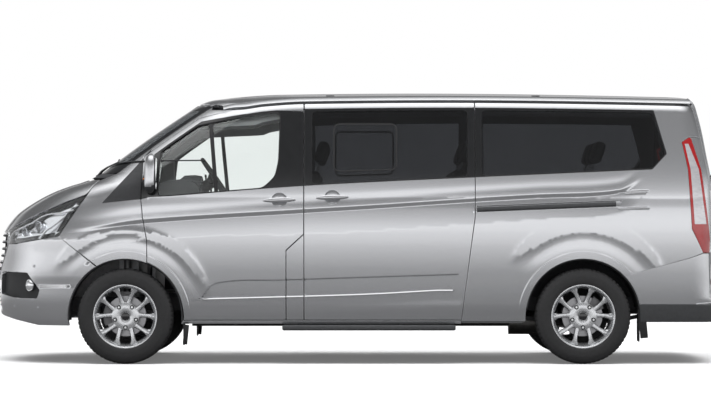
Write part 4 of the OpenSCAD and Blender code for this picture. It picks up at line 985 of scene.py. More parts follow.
def side_rails(x0, x1, z0, z1, extra=()):
    """Mesh points along the features within a box."""
    out = []
    xs = np.arange(x0, x1, 15.0)
    for off in (12, 4, -2, -9, -18, -28, -36, -44, -150, -162, -172):
        out += [[x, float(smooth(CREASE, x)) + off] for x in xs if x < 2070]
    for off in (9, 4, 0, -4, -9):
        out += [[x, float(smooth(SCOOP_TOP, x)) + off] for x in xs if -1122 < x < 745]
    for off in (5, 0, -5, -12):
        out += [[x, float(smooth(STRIP, x)) + off] for x in xs if -1140 < x < 700]
    for k in range(9):
        z = 540 + 14 * k
        for off in (-4, 2, 8):
            out.append([745 - (651 - z) * 0.9 + off, z])
    for cx in (FX, RX):
        for r in (462, 466, 470, 474, 560, 590, 612, 632, 652, 676):
            out += [[cx + r * math.cos(a), TYRE_R + r * math.sin(a)] for a in np.arange(-0.1, 3.3, 14.0 / r)]
    for hx, hz in HANDLES:
        for r in (20, 38, 46, 50, 54):
            out += [[hx + 1.08 * r * math.cos(a), hz + r * math.sin(a)] for a in np.arange(0, 6.2, 9.0 / r)]
    for off in (-26, -23, -21, -18.5, 18.5, 21, 23, 26, 75, 80, 85, -31, -36, -41):
        out += [[x, float(rail_z(x)) + off] for x in np.arange(C_X, C_X + 1250, 11.0)]
    out = [p for p in out if x0 < p[0] < x1 and z0 < p[1] < z1]
    return out + list(extra)


def side_part(outline, holes=(), step=17.0, thick=22, zones=(), corner=10, hole_corner=35):
    outline = rounded(outline, corner)
    holes = [rounded(h, hole_corner) for h in holes]
    a = np.array(outline)
    skin = Skin(side_point, outline, holes, step, side_rails(a[:, 0].min(), a[:, 0].max(), a[:, 1].min(), a[:, 1].max()),
                side_relief, zones=zones)
    return skin.build(thick, flip=1)


def arch_cut(outline, cx, r):
    """Replaces what an outline has inside a wheel arch by the arch's own line."""
    pts = spread(outline, 12)
    out = []
    for p in pts.tolist():
        d = math.hypot(p[0] - cx, p[1] - TYRE_R)
        if d >= r - 0.5:
            out.append(p)
        else:
            out.append(None)
    n = len(out)
    if None not in out:
        return outline
    start = next(i for i in range(n) if out[i] is not None and out[(i + 1) % n] is None)
    res, i = [], 0
    order = [(start + 1 + k) % n for k in range(n)]
    run = []
    for k in order:
        if out[k] is None:
            run.append(k)
            continue
        if run:
            a, b = out[(run[0] - 1) % n], out[k]
            a0 = math.atan2(a[1] - TYRE_R, a[0] - cx)
            a1 = math.atan2(b[1] - TYRE_R, b[0] - cx)
            if a0 < -math.pi / 2:
                a0 += 2 * math.pi
            if a1 < -math.pi / 2:
                a1 += 2 * math.pi
            m = max(2, int(abs(a1 - a0) * r / 12))
            res += [[cx + r * math.cos(a0 + (a1 - a0) * t / m), TYRE_R + r * math.sin(a0 + (a1 - a0) * t / m)]
                    for t in range(m + 1)]
            run = []
        res.append(out[k])
    return res


def both_sides(part):
    return joined([part, mirrored(part)])


# ---- Nose, bonnet, wings --------------------------------------------------------------------
SPAN = 90 * WRAP


def other(uv):
    """The same place on the right-hand side of the unrolled nose."""
    uv = np.asarray(uv, float)
    return np.stack([-2 * SPAN - uv[:, 0], uv[:, 1]], 1)


def both_edges(left):
    """A whole-width outline from its left half, which runs from the centre to the centre."""
    left = np.asarray(left, float)
    right = other(left)[::-1]
    return left.tolist() + right[np.abs(right[:, 0] + SPAN) > 0.01].tolist()


def at_wrap(p, depth):
    """A place on the nose at a depth, from side-view points [x, z]."""
    uv = wrap_uv(p)
    return wrap_point(uv) - normals_of(wrap_point, uv) * np.asarray(depth, float).reshape(-1, 1)


def at_front(p, depth):
    uv = wrap_uv_front(p)
    return wrap_point(uv) - normals_of(wrap_point, uv) * np.asarray(depth, float).reshape(-1, 1)


WING = ([[FX - 100, TYRE_R], WING_LOW, LAMP_LOW, LAMP_HIGH, BONNET_CORNER, [NOSE_X + 825, 1331]]
        + pillar_line(10, COWL_Z - 2, HEADER_Z - 30, 14)
        + [[HEADER_X + 120, float(seam_z(HEADER_X + 120)) - DOOR_TOP],
           [ROOF_TURN + 60, float(seam_z(ROOF_TURN + 60)) - DOOR_TOP]]
        + pillar_line(PILLAR_GAP - GAP, PILLAR_Z1 + 4, PILLAR_Z0 + 3, 14)
        + [[p[0] - GAP, p[1]] for p in DOOR_FRONT_EDGE] + [[DOOR_FRONT + 47 - GAP, TYRE_R]])
CORNER_TRIM = [[-1828, 1160], [-1480, 1196], [-1480, 1560], [-1556, 1462]]


def wings():
    outline = arch_cut(WING, FX, ARCH_R)
    skin = Skin(wrap_point, outline, (), 16, side_rails(-2300, -1500, 640, 1100), side_relief, wrap_uv,
                zones=((CORNER_TRIM, 1),))
    part = skin.build(20)
    make("front_wing_skins", both_sides(part), [PAINT, PLASTIC], "body", ["front_wings"])


def bonnet_relief(p):
    y = np.abs(p[:, 1])
    ridge = 400 + 110 * ramp(p[:, 0], NOSE_X + 50, NOSE_X + 800)
    return 5.5 * ramp(y, ridge, ridge + 26) * (1 - ramp(y, ridge + 60, ridge + 190)) + 1.0


def bonnet():
    edge = [[float(nose(960)) + 1, 960], [NOSE_X + 100, 966], [NOSE_X + 212, 1018], [NOSE_X + 370, 1092],
            [NOSE_X + 573, 1176], [NOSE_X + 725, 1226], [NOSE_X + 783, 1312], [NOSE_X + 812, 1334]]
    edge = wrap_uv(rounded_path(edge, 70))
    left = [[-SPAN, 960.0]] + edge.tolist() + [[-SPAN, 1334.0]]
    outline = both_edges(left)
    skin = Skin(wrap_point, outline, (), 20, (), bonnet_relief)
    make("bonnet_skin", joined([skin.build(20), with_mats(skin.sheet(18), 1)]), [PAINT, PAINT_DARK], "bonnet",
         ["bonnet"])


def cowl():
    rows = []
    for z in (COWL_Z - 34, COWL_Z - 25, COWL_Z - 14, COWL_Z - 4):
        y1 = 0.855 * float(half_w(z))
        rows.append([[float(front_x(y, z)) + (4 if z < COWL_Z - 30 else 0), y, z] for y in np.linspace(-y1, y1, 60)])
    v = [p for r in rows for p in r]
    f = [[i * 60 + j + 1, i * 60 + j, (i + 1) * 60 + j, (i + 1) * 60 + j + 1] for i in range(3) for j in range(59)]
    parts = [raw(v, f), raw([[p[0] + 12, p[1], p[2] - 6] for p in v], [q[::-1] for q in f])]
    # Wipers lie along the lower edge of the glass.
    for y0, y1, z1 in ((-120, -690, 1452), (560, -40, 1470)):
        base = [float(front_x(y0, COWL_Z - 16)) - 6, y0, COWL_Z - 12]
        tip_uv = wrap_uv_front([[y1, z1]])
        tip = (wrap_point(tip_uv) * [1, -1, 1] - normals_of(wrap_point, tip_uv) * [1, -1, 1] * -16)[0]
        mid = (np.array(base) * 0.45 + tip * 0.55) - [14, 0, -8]
        parts.append(tube([base, (np.array(base) + mid) / 2 - [6, 0, -4], mid, tip], [9, 8, 6, 4], 8, 1, 1.5))
        blade = [(np.array([float(front_x(y, z)), y, z]) - [7, 0, -4]) for y, z in
                 zip(np.linspace(y1 - 250, y1 + 300, 14), np.linspace(z1 + 14, z1 - 22, 14))]
        parts.append(tube(blade, 5, 8, 1, 1.4))
        parts.append(lathe([[0, 12], [13, 10], [16, 2], [16, -12]], 20, "Z", base, 1))
    make("cowl_and_wipers", joined(parts), [PLASTIC, PLASTIC], "body", ["cowl_panel"])


def windscreen():
    zs = np.linspace(COWL_Z + 1, HEADER_Z - 5, 26)
    left = [[0.0, COWL_Z + 1]] + [[k * float(half_w(COWL_Z + 1)), COWL_Z + 1] for k in np.linspace(0.08, 0.8, 9)]
    left += [[SCREEN_EDGE * float(half_w(z)), z] for z in zs]
    left += [[k * float(half_w(HEADER_Z - 5)), HEADER_Z - 5] for k in np.linspace(0.8, 0.0, 9)]
    left = wrap_uv_front(left)
    clear = [[0.0, COWL_Z + 78]] + [[k * float(half_w(COWL_Z)), COWL_Z + 78 - 8 * k] for k in (0.3, 0.6, 0.76)]
    clear += [[0.815 * float(half_w(z)), z] for z in np.linspace(COWL_Z + 90, HEADER_Z - 60, 12)]
    clear += [[k * float(half_w(HEADER_Z)), HEADER_Z - 48] for k in (0.7, 0.4, 0.0)]
    clear = both_edges(wrap_uv_front(rounded(clear, 30)))
    skin = Skin(wrap_point, both_edges(left), (), 34, zones=((clear, 1),), edge=20)
    # The clear zone of the windscreen is the dark-tinted glass, which is painted shade.
    make("windscreen_glass", skin.build(6, back=True), [GLOSS, GLASS_SCREEN_SHADED], "body", ["windscreen"])


def bumper_relief(p):
    x, z = p[:, 0], p[:, 2]
    y = np.abs(p[:, 1])
    depth = side_relief(p) * (x > -2330) * (z > 560)
    # Shoulder line, fog lamp pocket, lower intake.
    depth += 2.5 * ramp(640 - z, 0, 80) * ramp(z, 430, 560) * ramp(x, -2480, -2250)
    fog = inside(np.stack([x, z], 1), FOG) * (y > 480)
    depth += 26.0 * fog
    low = (y < 430) * ramp(z, 376, 384) * (1 - ramp(z, 512, 522))
    return np.maximum(depth, 0) + 24.0 * low + 0.4


FOG = [[-2600, 662], [-2385, 656], [-2289, 531], [-2312, 470], [-2464, 470], [-2610, 500]]


def front_bumper():
    xa = FX - math.sqrt(ARCH_R ** 2 - (TYRE_R - 276) ** 2)
    za = 703.0
    ta = math.degrees(math.asin((za - TYRE_R) / ARCH_R))
    side = along([[NOSE_X + 240, 301], [NOSE_X + 370, 276], [xa, 276]], 14)
    side += arc(FX, TYRE_R, ARCH_R, 180 + math.degrees(math.asin((TYRE_R - 276) / ARCH_R)), 180 - ta, 50)[1:]
    side += along([side[-1], LAMP_LOW, [NOSE_X + 212, 870]], 14)[1:]
    side = wrap_uv(side)
    bottom = wrap_uv([[float(nose(352)) + 0.5, 352], [NOSE_X + 40, 345], [NOSE_X + 120, 327]])
    bottom = np.concatenate([[[-SPAN, 352.0]], bottom])
    top = wrap_uv_front([[700, 866], [640, 865], [561, 864], [560, 860], [420, 640], [200, 640], [0, 640]])
    outline = both_edges(np.concatenate([bottom, side, top]))
    fog = [wrap_uv(rounded(FOG, 12)), other(wrap_uv(rounded(FOG, 12)))]
    low = wrap_uv_front(rounded([[-428, 384], [428, 384], [428, 514], [-428, 514]], 20))
    rails = []
    for ring in fog + [low]:
        for d in (-8, -3, 3, 8):
            rails += inward(spread(np.asarray(ring).tolist(), 10), d).tolist()
    skin = Skin(wrap_point, outline, (), 18, rails, bumper_relief,
                zones=((fog[0].tolist(), 1), (fog[1].tolist(), 1), (low.tolist(), 1)))
    parts = [skin.build(16)]
    # Slats of the lower intake.
    for z in (410, 440, 470, 498):
        ys = np.linspace(-415, 415, 40)
        parts.append(tube(at_front([[y, z] for y in ys], 14), 5, 6, 1, 1.6))
    # Fog lamps, and parking sensors as plain discs.
    for s in (1, -1):
        c = at_wrap([[-2372, 566]], 8)[0] * [1, s, 1]
        n = np.array([-0.72, -0.69 * s, 0.0])
        rot = Vector(n).to_track_quat("Y", "Z").to_matrix().to_4x4()
        # The fog lamp's centre has the painted glow.
        lamp = lathe([[0, 16], [20, 14], [34, 8], [38, 2], [41, 2], [43, -6], [43, -12]], 40, "Y", mats=[4, 4, 4, 3, 3, 1])
        parts.append(moved(lamp, Matrix.Translation(c.tolist()) @ rot))
        for x, z in ((-2490, 405), (-2300, 400)):
            q = at_wrap([[x, z]], -0.3)[0] * [1, s, 1]
            m = Vector((q - at_wrap([[x, z]], 10)[0] * [1, s, 1]).tolist()).to_track_quat("Y", "Z").to_matrix().to_4x4()
            parts.append(moved(lathe([[0, 0.6], [9, 0.6], [11, 0], [11, -2]], 20, "Y", mat=0), Matrix.Translation(q.tolist()) @ m))
    make("front_bumper_skin", joined(parts), [PAINT, PLASTIC, LENS, CHROME, LAMP_PAINTED_GLOW], "body", ["front_bumper"])


def grille():
    parts = []
    left = wrap_uv_front(rounded([[0, 642], [200, 642], [418, 642], [557, 868], [518, 957], [260, 957], [0, 957]], 14))
    skin = Skin(wrap_point, both_edges(left), (), 40, (), lambda p: np.full(len(p), 30.0), edge=24)
    parts.append(skin.build(34))
    for k, z in enumerate(np.linspace(676, 926, 6)):
        w = float(np.interp(z, [642, 868, 957], [410, 548, 512]))
        ys = np.linspace(-w, w, 50)
        bright = 2 if k in (1, 2, 3, 4, 5) else 1
        parts.append(tube(at_front([[y, z] for y in ys], 8), 8.5, 8, 1, 1.6))
        parts.append(tube(at_front([[y, z + 9] for y in ys], 1.5), 4.2, 8, bright, 1.3))
    for y in np.linspace(-380, 380, 13):
        parts.append(tube(at_front([[y, z] for z in np.linspace(650, 950, 10)], 20), 3.2, 6, 1))
    rim = [[-514, 952], [-554, 868], [-416, 648], [0, 646], [416, 648], [554, 868], [514, 952]]
    path = at_front(spread(rounded(rim, 25), 25), 5)
    parts.append(tube(path, 8, 8, 2, 1.0, closed=True))
    make("grille_bars", joined(parts), [GLOSS, PLASTIC, CHROME], "body", ["grille"])


LAMP = [[NOSE_X + 90, 955], [NOSE_X + 212, 1007], [NOSE_X + 370, 1081], [NOSE_X + 573, 1165], [NOSE_X + 722, 1212],
        [NOSE_X + 527, 923], [NOSE_X + 212, 872]]


def headlamps():
    front = [[566, 864], [566, 948]]
    edge = wrap_uv_front(front).tolist() + wrap_uv(LAMP).tolist()
    edge = rounded(edge, 18)
    lens = Skin(wrap_point, edge, (), 26, edge=12)
    bowl = Skin(wrap_point, inward(spread(edge, 12), 3).tolist(), (), 22, edge=14,
                relief=lambda p: 34 + 26 * bump_at(p[:, 0] - (NOSE_X + 300), 170) * bump_at(p[:, 2] - 1000, 60),
                zones=((inward(spread(edge, 12), 46).tolist(), 1),))
    shell = bowl.build(60)
    parts = [with_mats(shell, 1)]
    glass = lens.build(3, back=True)
    # Light guides and the projector.
    guide = [[NOSE_X + 118, 905], [NOSE_X + 150, 958], [NOSE_X + 320, 1030], [NOSE_X + 400, 1082],
             [NOSE_X + 470, 1092], [NOSE_X + 560, 1096], [NOSE_X + 628, 1118]]
    parts.append(tube(at_wrap(rounded_path(guide, 24), 16), 6.5, 8, 2, 1.5))
    second = [[NOSE_X + 560, 1068], [NOSE_X + 500, 1020], [NOSE_X + 420, 968], [NOSE_X + 372, 908]]
    parts.append(tube(at_wrap(rounded_path(second, 24), 18), 9, 8, 2, 1.6))
    for x, z, r in ((NOSE_X + 345, 1003, 46), (NOSE_X + 232, 962, 36)):
        c = at_wrap([[x, z]], 34)[0]
        m = Matrix.Translation(c.tolist()) @ Vector((-0.8, -0.6, 0)).to_track_quat("Y", "Z").to_matrix().to_4x4()
        parts.append(moved(lathe([[0, 14], [r * 0.4, 12], [r * 0.66, 5], [r * 0.74, -2]], 40, "Y", mat=3), m))
        parts.append(moved(lathe([[r * 0.76, 0], [r * 0.86, 5], [r, 3], [r * 1.02, -6], [r * 0.98, -34]], 40, "Y", mat=4), m))
    make("headlamp_lens", both_sides(glass), [LENS], "body", ())
    # The light guides and the middle of the bowl have the painted glow.
    make("headlamp_inner", both_sides(joined(parts)), [PAINT, GLOSS, LAMP_PAINTED_GLOW, LENS, REFLECTOR], "body",
         ["headlamps"])


def rounded_path(pts, n):
    """A smooth run of n points along an open polyline."""
    p = np.array(pts, float)
    t = np.concatenate([[0], np.cumsum(np.linalg.norm(np.diff(p, axis=0), axis=1))])
    tt = np.linspace(0, t[-1], n)
    q = np.stack([np.interp(tt, t, p[:, k]) for k in range(p.shape[1])], 1)
    for _ in range(3):
        q[1:-1] = (q[:-2] + 2 * q[1:-1] + q[2:]) / 4
    return q


# ---- Side panels, doors and windows ---------------------------------------------------------
QUARTER = ([[C_LOW + 1, 305], [RX - 200, 305], BUMPER_SEAM[0], BUMPER_SEAM[1], BUMPER_SEAM[2], [TAIL_X - 250, 975],
            [TAIL_X - 274, 1404], [TAIL_X - 314, 1604], [TAIL_X - 262, 1638]]
           + [[float(corner_x(z)) - 1.5, z] for z in np.linspace(1638, 1846, 9)]
           + [[TAIL_X - 235, float(seam_z(TAIL_X - 235)) - DOOR_TOP]]
           + seam_line(TAIL_X - 320, C_X, 14, DOOR_TOP) + [[C_X, 1075]])
REAR_LAMP = ([[TAIL_X - 262, 1634], [TAIL_X - 312, 1602], [TAIL_X - 272, 1404], [TAIL_X - 248, 977],
              [TAIL_X - 166, 804]] + [[float(corner_x(z)) - 1.5, z] for z in np.linspace(804, 1634, 16)])
DARK_SIDE = ([[DOOR_FRONT - 20, 1184]] + line(steps(DOOR_FRONT + 60, B_X + 20, 8), lambda x: belt(x) - 9)
             + [[B_X + 20, float(seam_z(B_X)) - GLASS_DROP]]
             + seam_line(B_X - 200, ROOF_TURN + 130, 7, GLASS_DROP - 18)
             + pillar_line(PILLAR_GAP + 52, PILLAR_Z1 - 20, PILLAR_Z0 - 20, 8))
DARK_SLIDE = (line(steps(B_X - 20, C_X + 20, 6), lambda x: belt(x) - 9)
              + seam_line(C_X + 20, B_X - 20, 6, GLASS_DROP - 18))
DARK_QUARTER = (line(steps(C_X - 20, TAIL_X - 530, 6), lambda x: belt(x) - 9)
                + [[TAIL_X - 423, float(belt(TAIL_X - 430)) + 104],
                   [TAIL_X - 512, float(seam_z(TAIL_X - 520)) - GLASS_DROP + 18]]
                + seam_line(TAIL_X - 640, C_X - 20, 6, GLASS_DROP - 18))


def grown(outline, d):
    return inward(spread(outline, 20), -d).tolist()


def strip_bar(x0, x1):
    """The bright strip along the doors."""
    xs = np.linspace(x0, x1, max(4, int((x1 - x0) / 30)))
    zs = smooth(STRIP, xs)
    taper = np.clip((xs + 1124) / 60, 0.25, 1)
    parts = []
    pts = side_point(np.stack([xs, zs], 1))
    rings = []
    for p, t in zip(pts, taper):
        rings.append([p + [0, 2, 8 * t], p + [0, -3.2, 7 * t], p + [0, -4.4, 0], p + [0, -3.2, -7 * t],
                      p + [0, 2, -8 * t]])
    return loft(rings, True, True)


def handle(hx, hz):
    y = -float(side_y(hx, hz))
    xs = np.linspace(-116, 116, 22)
    rings = []
    for t in xs:
        k = abs(t) / 116
        h = 17 * (1 - 0.55 * k ** 3)
        out = -6.0 - 3.5 * math.cos(k * math.pi / 2)
        tilt = t * 0.03
        c = np.array([hx + t, -float(side_y(hx + t, hz)) + out, hz + tilt])
        rings.append([c + [0, 9 * math.cos(a), h * math.sin(a)] for a in np.linspace(0, 2 * np.pi, 14, endpoint=False)])
    return loft(rings)


def edge_strip(outline, width, depth, mat):
    """A flat rubber ring just inside an outline on the side surface."""
    skin = Skin(side_point, grown(outline, width), [outline], 40, edge=20)
    v, n, f, m = skin.build(4)
    return v + normals_of(side_point, v[:, [0, 2]]) * -depth, n, f, [mat] * len(f)


def pane(outline, depth, thick=4.5, step=40, grow=1.5):
    """A glass pane below the skin's surface."""
    skin = Skin(side_point, grown(rounded(outline, 35), grow), (), step, edge=20)
    v, n, f, m = skin.build(thick, back=True, round_edge=0.4)
    uv = v[:, [0, 2]]
    return v - normals_of(side_point, uv) * depth, n, f, m


def inner_door(outline, hole, depth, mat, step=60):
    skin = Skin(side_point, rounded(outline, 10), [grown(rounded(hole, 35), 6)], step, edge=24)
    return with_mats(skin.sheet(depth), mat)


def door_detail(x0, x1, z0, depth, mat):
    """Pocket and arm rest on the inside of a door."""
    parts = []
    for cx, cz, sx, sz, dy in (((x0 + x1) / 2, z0 + 150, (x1 - x0) * 0.7, 150, 34), ((x0 + x1) / 2, z0 + 480, (x1 - x0) * 0.6, 52, 50)):
        y = -float(side_y(cx, cz)) + depth + dy / 2
        parts.append(box_part((cx, y, cz), (sx, dy, sz), 14, mat, seg=3))
    return joined(parts)


def sides():
    door = arch_cut(rounded(DOOR, 8), FX, ARCH_R + GAP)
        # Front doors.
    skin = side_part(door, [DOOR_GLASS], 17, 50, zones=((DARK_SIDE, 1),), corner=0.1)
    extra = [inner_door(door, DOOR_GLASS, 50, 3), with_mats(strip_bar(-1120, B_X - 136), 2), handle(*HANDLES[0]),
             edge_strip(rounded(DOOR_GLASS, 35), 7, -1.2, 4),
             door_detail(FX + 380, B_X - 230, 480, 50, 3)]
    whole = joined([skin] + extra)
    mats = [PAINT, GLOSS, CHROME, TRIM, RUBBER]
    # The divider of the front quarter light.
    post = []
    for (xa, za), (xb, zb) in (((-1003, 1242), (-1048, 1752)),):
        rings = []
        for t in np.linspace(0, 1, 12):
            x, z = xa + (xb - xa) * t, za + (zb - za) * t
            c = side_point(np.array([[x, z]]))[0]
            nrm = normals_of(side_point, np.array([[x, z]]))[0]
            rings.append([c + [-14, 0, 0] - nrm * 3, c + [14, 0, 0] - nrm * 3, c + [14, 0, 0] - nrm * 22, c + [-14, 0, 0] - nrm * 22])
        post.append(loft(rings, mat=4))
    whole = joined([whole] + post)
    for side, part in (("left", whole), ("right", mirrored(whole))):
        make(f"front_door_skin_{side}", part, mats, f"front_door_{side}", [f"front_door_{side}"])
    glass = pane(DOOR_GLASS, 9)
    for side, part in (("left", glass), ("right", mirrored(glass))):
        make(f"front_glass_{side}", part, [GLASS_CLEAR], f"front_door_{side}", [f"front_door_glass_{side}"])

    # Sliding doors.
    skin = side_part(SLIDE, [SLIDE_GLASS], 17, 56, zones=((DARK_SLIDE, 1),), corner=8)
    whole = joined([skin, inner_door(SLIDE, SLIDE_GLASS, 56, 3), with_mats(strip_bar(B_X + 3, 700), 2),
                    handle(*HANDLES[1]), door_detail(B_X + 160, C_X - 260, 480, 56, 3)])
    for side, part in (("left", whole), ("right", mirrored(whole))):
        make(f"sliding_door_skin_{side}", part, mats, "body", [f"sliding_door_{side}"])

    # Rear quarters.
    quarter = arch_cut(QUARTER, RX, ARCH_R)
    skin = side_part(quarter, [QUARTER_GLASS], 17, 30, zones=((DARK_QUARTER, 1),), corner=3)
    inner = inner_door(quarter, QUARTER_GLASS, 64, 3)
    xs = np.arange(C_X + 10, RAIL_X1 - 8, 40.0)
    rail = [side_point(np.array([[x, float(rail_z(x))]]))[0] + [0, 10, 0] for x in xs]
    bar = tube(rail, 15, 8, 5, 0.5)
    make("quarter_skins", both_sides(joined([skin, inner, bar])), mats + [GREY_PLASTIC], "body", ["quarter_panels"])

    # Fixed glass: the sliding doors' panes, with a framed sliding vent, and the rear quarters'.
    parts = [pane(SLIDE_GLASS, 1.5, 4), pane(QUARTER_GLASS, 1.5, 4)]
    vent = rounded([[-155, 1390], [295, 1404], [295, 1732], [-155, 1732]], 45)
    skin = Skin(side_point, grown(vent, 7), [grown(vent, -5)], 40, edge=18)
    ring = with_mats(skin.build(5), 1)
    ring = ring[0] + np.array([0, -1.5, 0]), ring[1], ring[2], ring[3]
    parts.append(ring)
    for hole in (SLIDE_GLASS, QUARTER_GLASS):
        parts.append(with_mats(edge_strip(rounded(hole, 35), 3, 0.2, 0), 2))
    make("side_glass", both_sides(joined(parts)), [GLASS_DARK, RUBBER, RUBBER], "body", ["side_windows"])

    # Fixed lower panels and sills.
    low = [[B_X - 129, DOOR_BOTTOM], [B_X - 6, DOOR_BOTTOM], [B_X - 6, 932], [B_X - 129, 819]]
    sill = [[FX + 402, 285], [C_LOW - 1, 285], [C_LOW - 1, 309], [FX + 414, 309]]
    parts = [side_part(low, (), 17, 40, corner=4), side_part(sill, (), 20, 40, corner=3),
             with_mats(strip_bar(B_X - 129, B_X - 6), 2)]
    make("lower_panels", both_sides(joined(parts)), mats, "body", ["lower_side_panels"])

    # Tail lamps: a red shell with a clear upper window.
    shell = [[TAIL_X - 350, 1660], [TAIL_X - 252, 1650], [TAIL_X - 176, 1404], [TAIL_X - 142, 1150], [TAIL_X - 112, 900],
             [TAIL_X - 116, 790], [TAIL_X - 350, 790]]
    window = [[TAIL_X - 293, 1590], [TAIL_X - 266, 1590], [TAIL_X - 194, 1404], [TAIL_X - 162, 1150],
              [TAIL_X - 142, 1010], [TAIL_X - 229, 1010], [TAIL_X - 254, 1404]]
    skin = Skin(side_point, REAR_LAMP, (), 13, zones=((shell, 1), (window, 2)), edge=12)
    make("tail_lamp_lenses", both_sides(skin.build(40)), [PAINT, LENS_RED, LAMP_CLEAR], "body", ["tail_lamps"])


LAMP_CLEAR = material("lamp_clear", (0.52, 0.51, 0.53), 0.16, 0.35, 0.12, 26, 0.15, 120, coat=1.0, coat_rough=0.02,
                      stretch=(1, 1, 3))


# ---- Roof -----------------------------------------------------------------------------------
def roof_relief(p):
    y = np.abs(p[:, 1])
    depth = np.zeros(len(p))
    run = ramp(p[:, 0], HEADER_X + 260, HEADER_X + 420) * (1 - ramp(p[:, 0], TAIL_X - 420, TAIL_X - 330))
    for c in (0, 210, 420):
        depth += 5.0 * ramp(60 - np.abs(y - c), 0, 14) * run
    return depth


def roof():
    w = EDGE_Y - SEAM - 3
    ys = np.linspace(-w, w, 33)
    front = [[HEADER_X + float(header_bow(y)) + 5, y] for y in ys]
    end = TAIL_X - 238
    outline = front + [[end, w], [end, -w]]
    rails = []
    for c in (0, 210, 420):
        for s in (1, -1):
            for d in (-62, -54, -46, 46, 54, 62):
                rails += [[x, s * c + d] for x in np.arange(HEADER_X + 250, TAIL_X - 320, 34.0)]
    rails += [[x, s * (w - d)] for x in np.arange(HEADER_X + 160, TAIL_X - 260, 34.0) for s in (1, -1)
              for d in (8, 20, 34, 50, 70, 95, 125)]
    skin = Skin(roof_point, outline, (), 40, rails, roof_relief, edge=24)
    parts = [skin.build(26, round_edge=2.0), with_mats(skin.sheet(26), 1)]
    for sx in (-1, 1):
        for sy in (-1, 1):
            x, y = C_X - 300 + sx * 750, sy * 650
            z = float(roof_z(x, y))
            parts.append(box_part((x, y, z + 0.5), (60, 24, 5), 2, 2))
    make("roof_skin", joined(parts), [PAINT, LINER, PLASTIC], "body", ["roof_panel"])


# ---- Tail -----------------------------------------------------------------------------------
GATE_WINDOW = [[-640, 1318], [640, 1318], [668, 1400], [600, 1770], [-600, 1770], [-668, 1400]]


def gate_half(z):
    return float(half_w(z)) - 97 - GAP


def gate_relief(p):
    y, z = np.abs(p[:, 1]), p[:, 2]
    plate = ramp(300 - y, 0, 10) * ramp(z, 960, 972) * (1 - ramp(z, 1118, 1130))
    crease = 7.0 * ramp(1262 - z, 0, 26) * (1 - ramp(1262 - z, 26, 150))
    low = 5.0 * ramp(900 - z, 0, 18) * ramp(z, 740, 800) * ramp(700 - y, 0, 30)
    return 16.0 * plate + crease + low


def tailgate():
    zs = np.linspace(722, 1928, 40)
    outline = [[gate_half(z), z] for z in zs] + [[-gate_half(z), z] for z in zs[::-1]]
    outline = rounded(outline, 12)
    dark = [[-700, 1270], [700, 1270], [738, 1400], [668, 1840], [-668, 1840], [-738, 1400]]
    rails = [[y, z] for z in (955, 962, 968, 974, 1116, 1122, 1128, 1134, 1232, 1240, 1250, 1262, 1268, 880, 890, 902, 908)
             for y in np.arange(-760, 760, 22.0)]
    rails += [[s * (300 + d), z] for s in (1, -1) for d in (-12, -6, 0, 5) for z in np.arange(965, 1128, 14.0)]
    skin = Skin(tail_point, outline, [rounded(GATE_WINDOW, 60)], 22, rails, gate_relief,
                zones=((rounded(dark, 40), 1),))
    thick = lambda p: np.where(p[:, 2] > BODY_H - 110, 12.0, 56.0)
    parts = [skin.build(thick)]
    back = Skin(tail_point, [[k * 0.985, z] for k, z in outline if z < 1850], [grown(rounded(GATE_WINDOW, 60), 6)], 60, edge=24)
    parts.append(with_mats(back.sheet(56), 3))
    x = float(tail(1045)) - 13
    parts.append(box_part((x, 0, 1045), (6, 520, 112), 4, 2))
    parts.append(box_part((float(tail(1160)) + 3, 0, 1152), (26, 560, 46), 10, 4, seg=3))
    # Two small lamps above the plate, with the painted glow.
    parts.append(box_part((float(tail(1140)) - 4, -170, 1128), (14, 60, 12), 3, 5))
    parts.append(box_part((float(tail(1140)) - 4, 170, 1128), (14, 60, 12), 3, 5))
    # High stop lamp and wiper.
    ys = np.linspace(-230, 230, 24)
    parts.append(tube([[float(tail(1866)) + 1.5, y, 1866] for y in ys], 8, 8, 6, 2.0))
    base = np.array([float(tail(1292)) + 7, 0, 1292])
    parts.append(lathe([[0, 18], [20, 16], [26, 6], [27, -12]], 28, "X", base - [4, 0, 0], 7))
    tip = np.array([float(tail(1372)) + 8, -470, 1372])
    parts.append(tube([base + [6, 0, 0], base + [10, -150, 22], tip * 0.5 + base * 0.5 + [10, 0, 8], tip], [11, 9, 7, 4], 8, 7, 1.4))
    parts.append(tube([[float(tail(z)) + 1, y, z] for y, z in zip(np.linspace(-590, -300, 10), np.linspace(1386, 1352, 10))], 5, 8, 7))
    mats = [PAINT, GLOSS, PLATE, TRIM, PLASTIC, LAMP_PAINTED_GLOW, LENS_RED, PLASTIC]
    make("tailgate_skin", joined(parts), mats, "tailgate", ["tailgate"])
    skin = Skin(tail_point, grown(rounded(GATE_WINDOW, 60), 1.5), (), 60, edge=24)
    v, n, f, m = skin.build(4.5, back=True, round_edge=0.4)
    make("tailgate_pane", (v - [2.5, 0, 0], n, f, m), [GLASS_DARK], "tailgate", ["tailgate_glass"])


OUT = [[303, 0], [425, 0], [437, -19], [450, -21], [560, -30], [712, -34], [801, -35]]


def bumper_point(uv):
    """The rear bumper, addressed by [distance round it from the middle, z]; negative is left."""
    u, z = np.abs(uv[:, 0]), uv[:, 1]
    s = np.sign(uv[:, 0])
    out, w = np.minimum(smooth(OUT, z), 0) - 0.6, half_w(z)
    a = np.clip((u - 843) / 150, 0, np.pi / 2)
    y = np.where(u < 843, u * (w - 150) / 843, w - 150 + 150 * np.sin(a))
    bow = TAIL_BOW * np.minimum(np.abs(u) / 880, 1) ** 1.6
    x = TAIL_X + out - bow - 150 + 150 * np.cos(a) - np.maximum(u - 843 - 75 * np.pi, 0)
    return np.stack([x, y * np.where(s == 0, 1, s), z], 1)


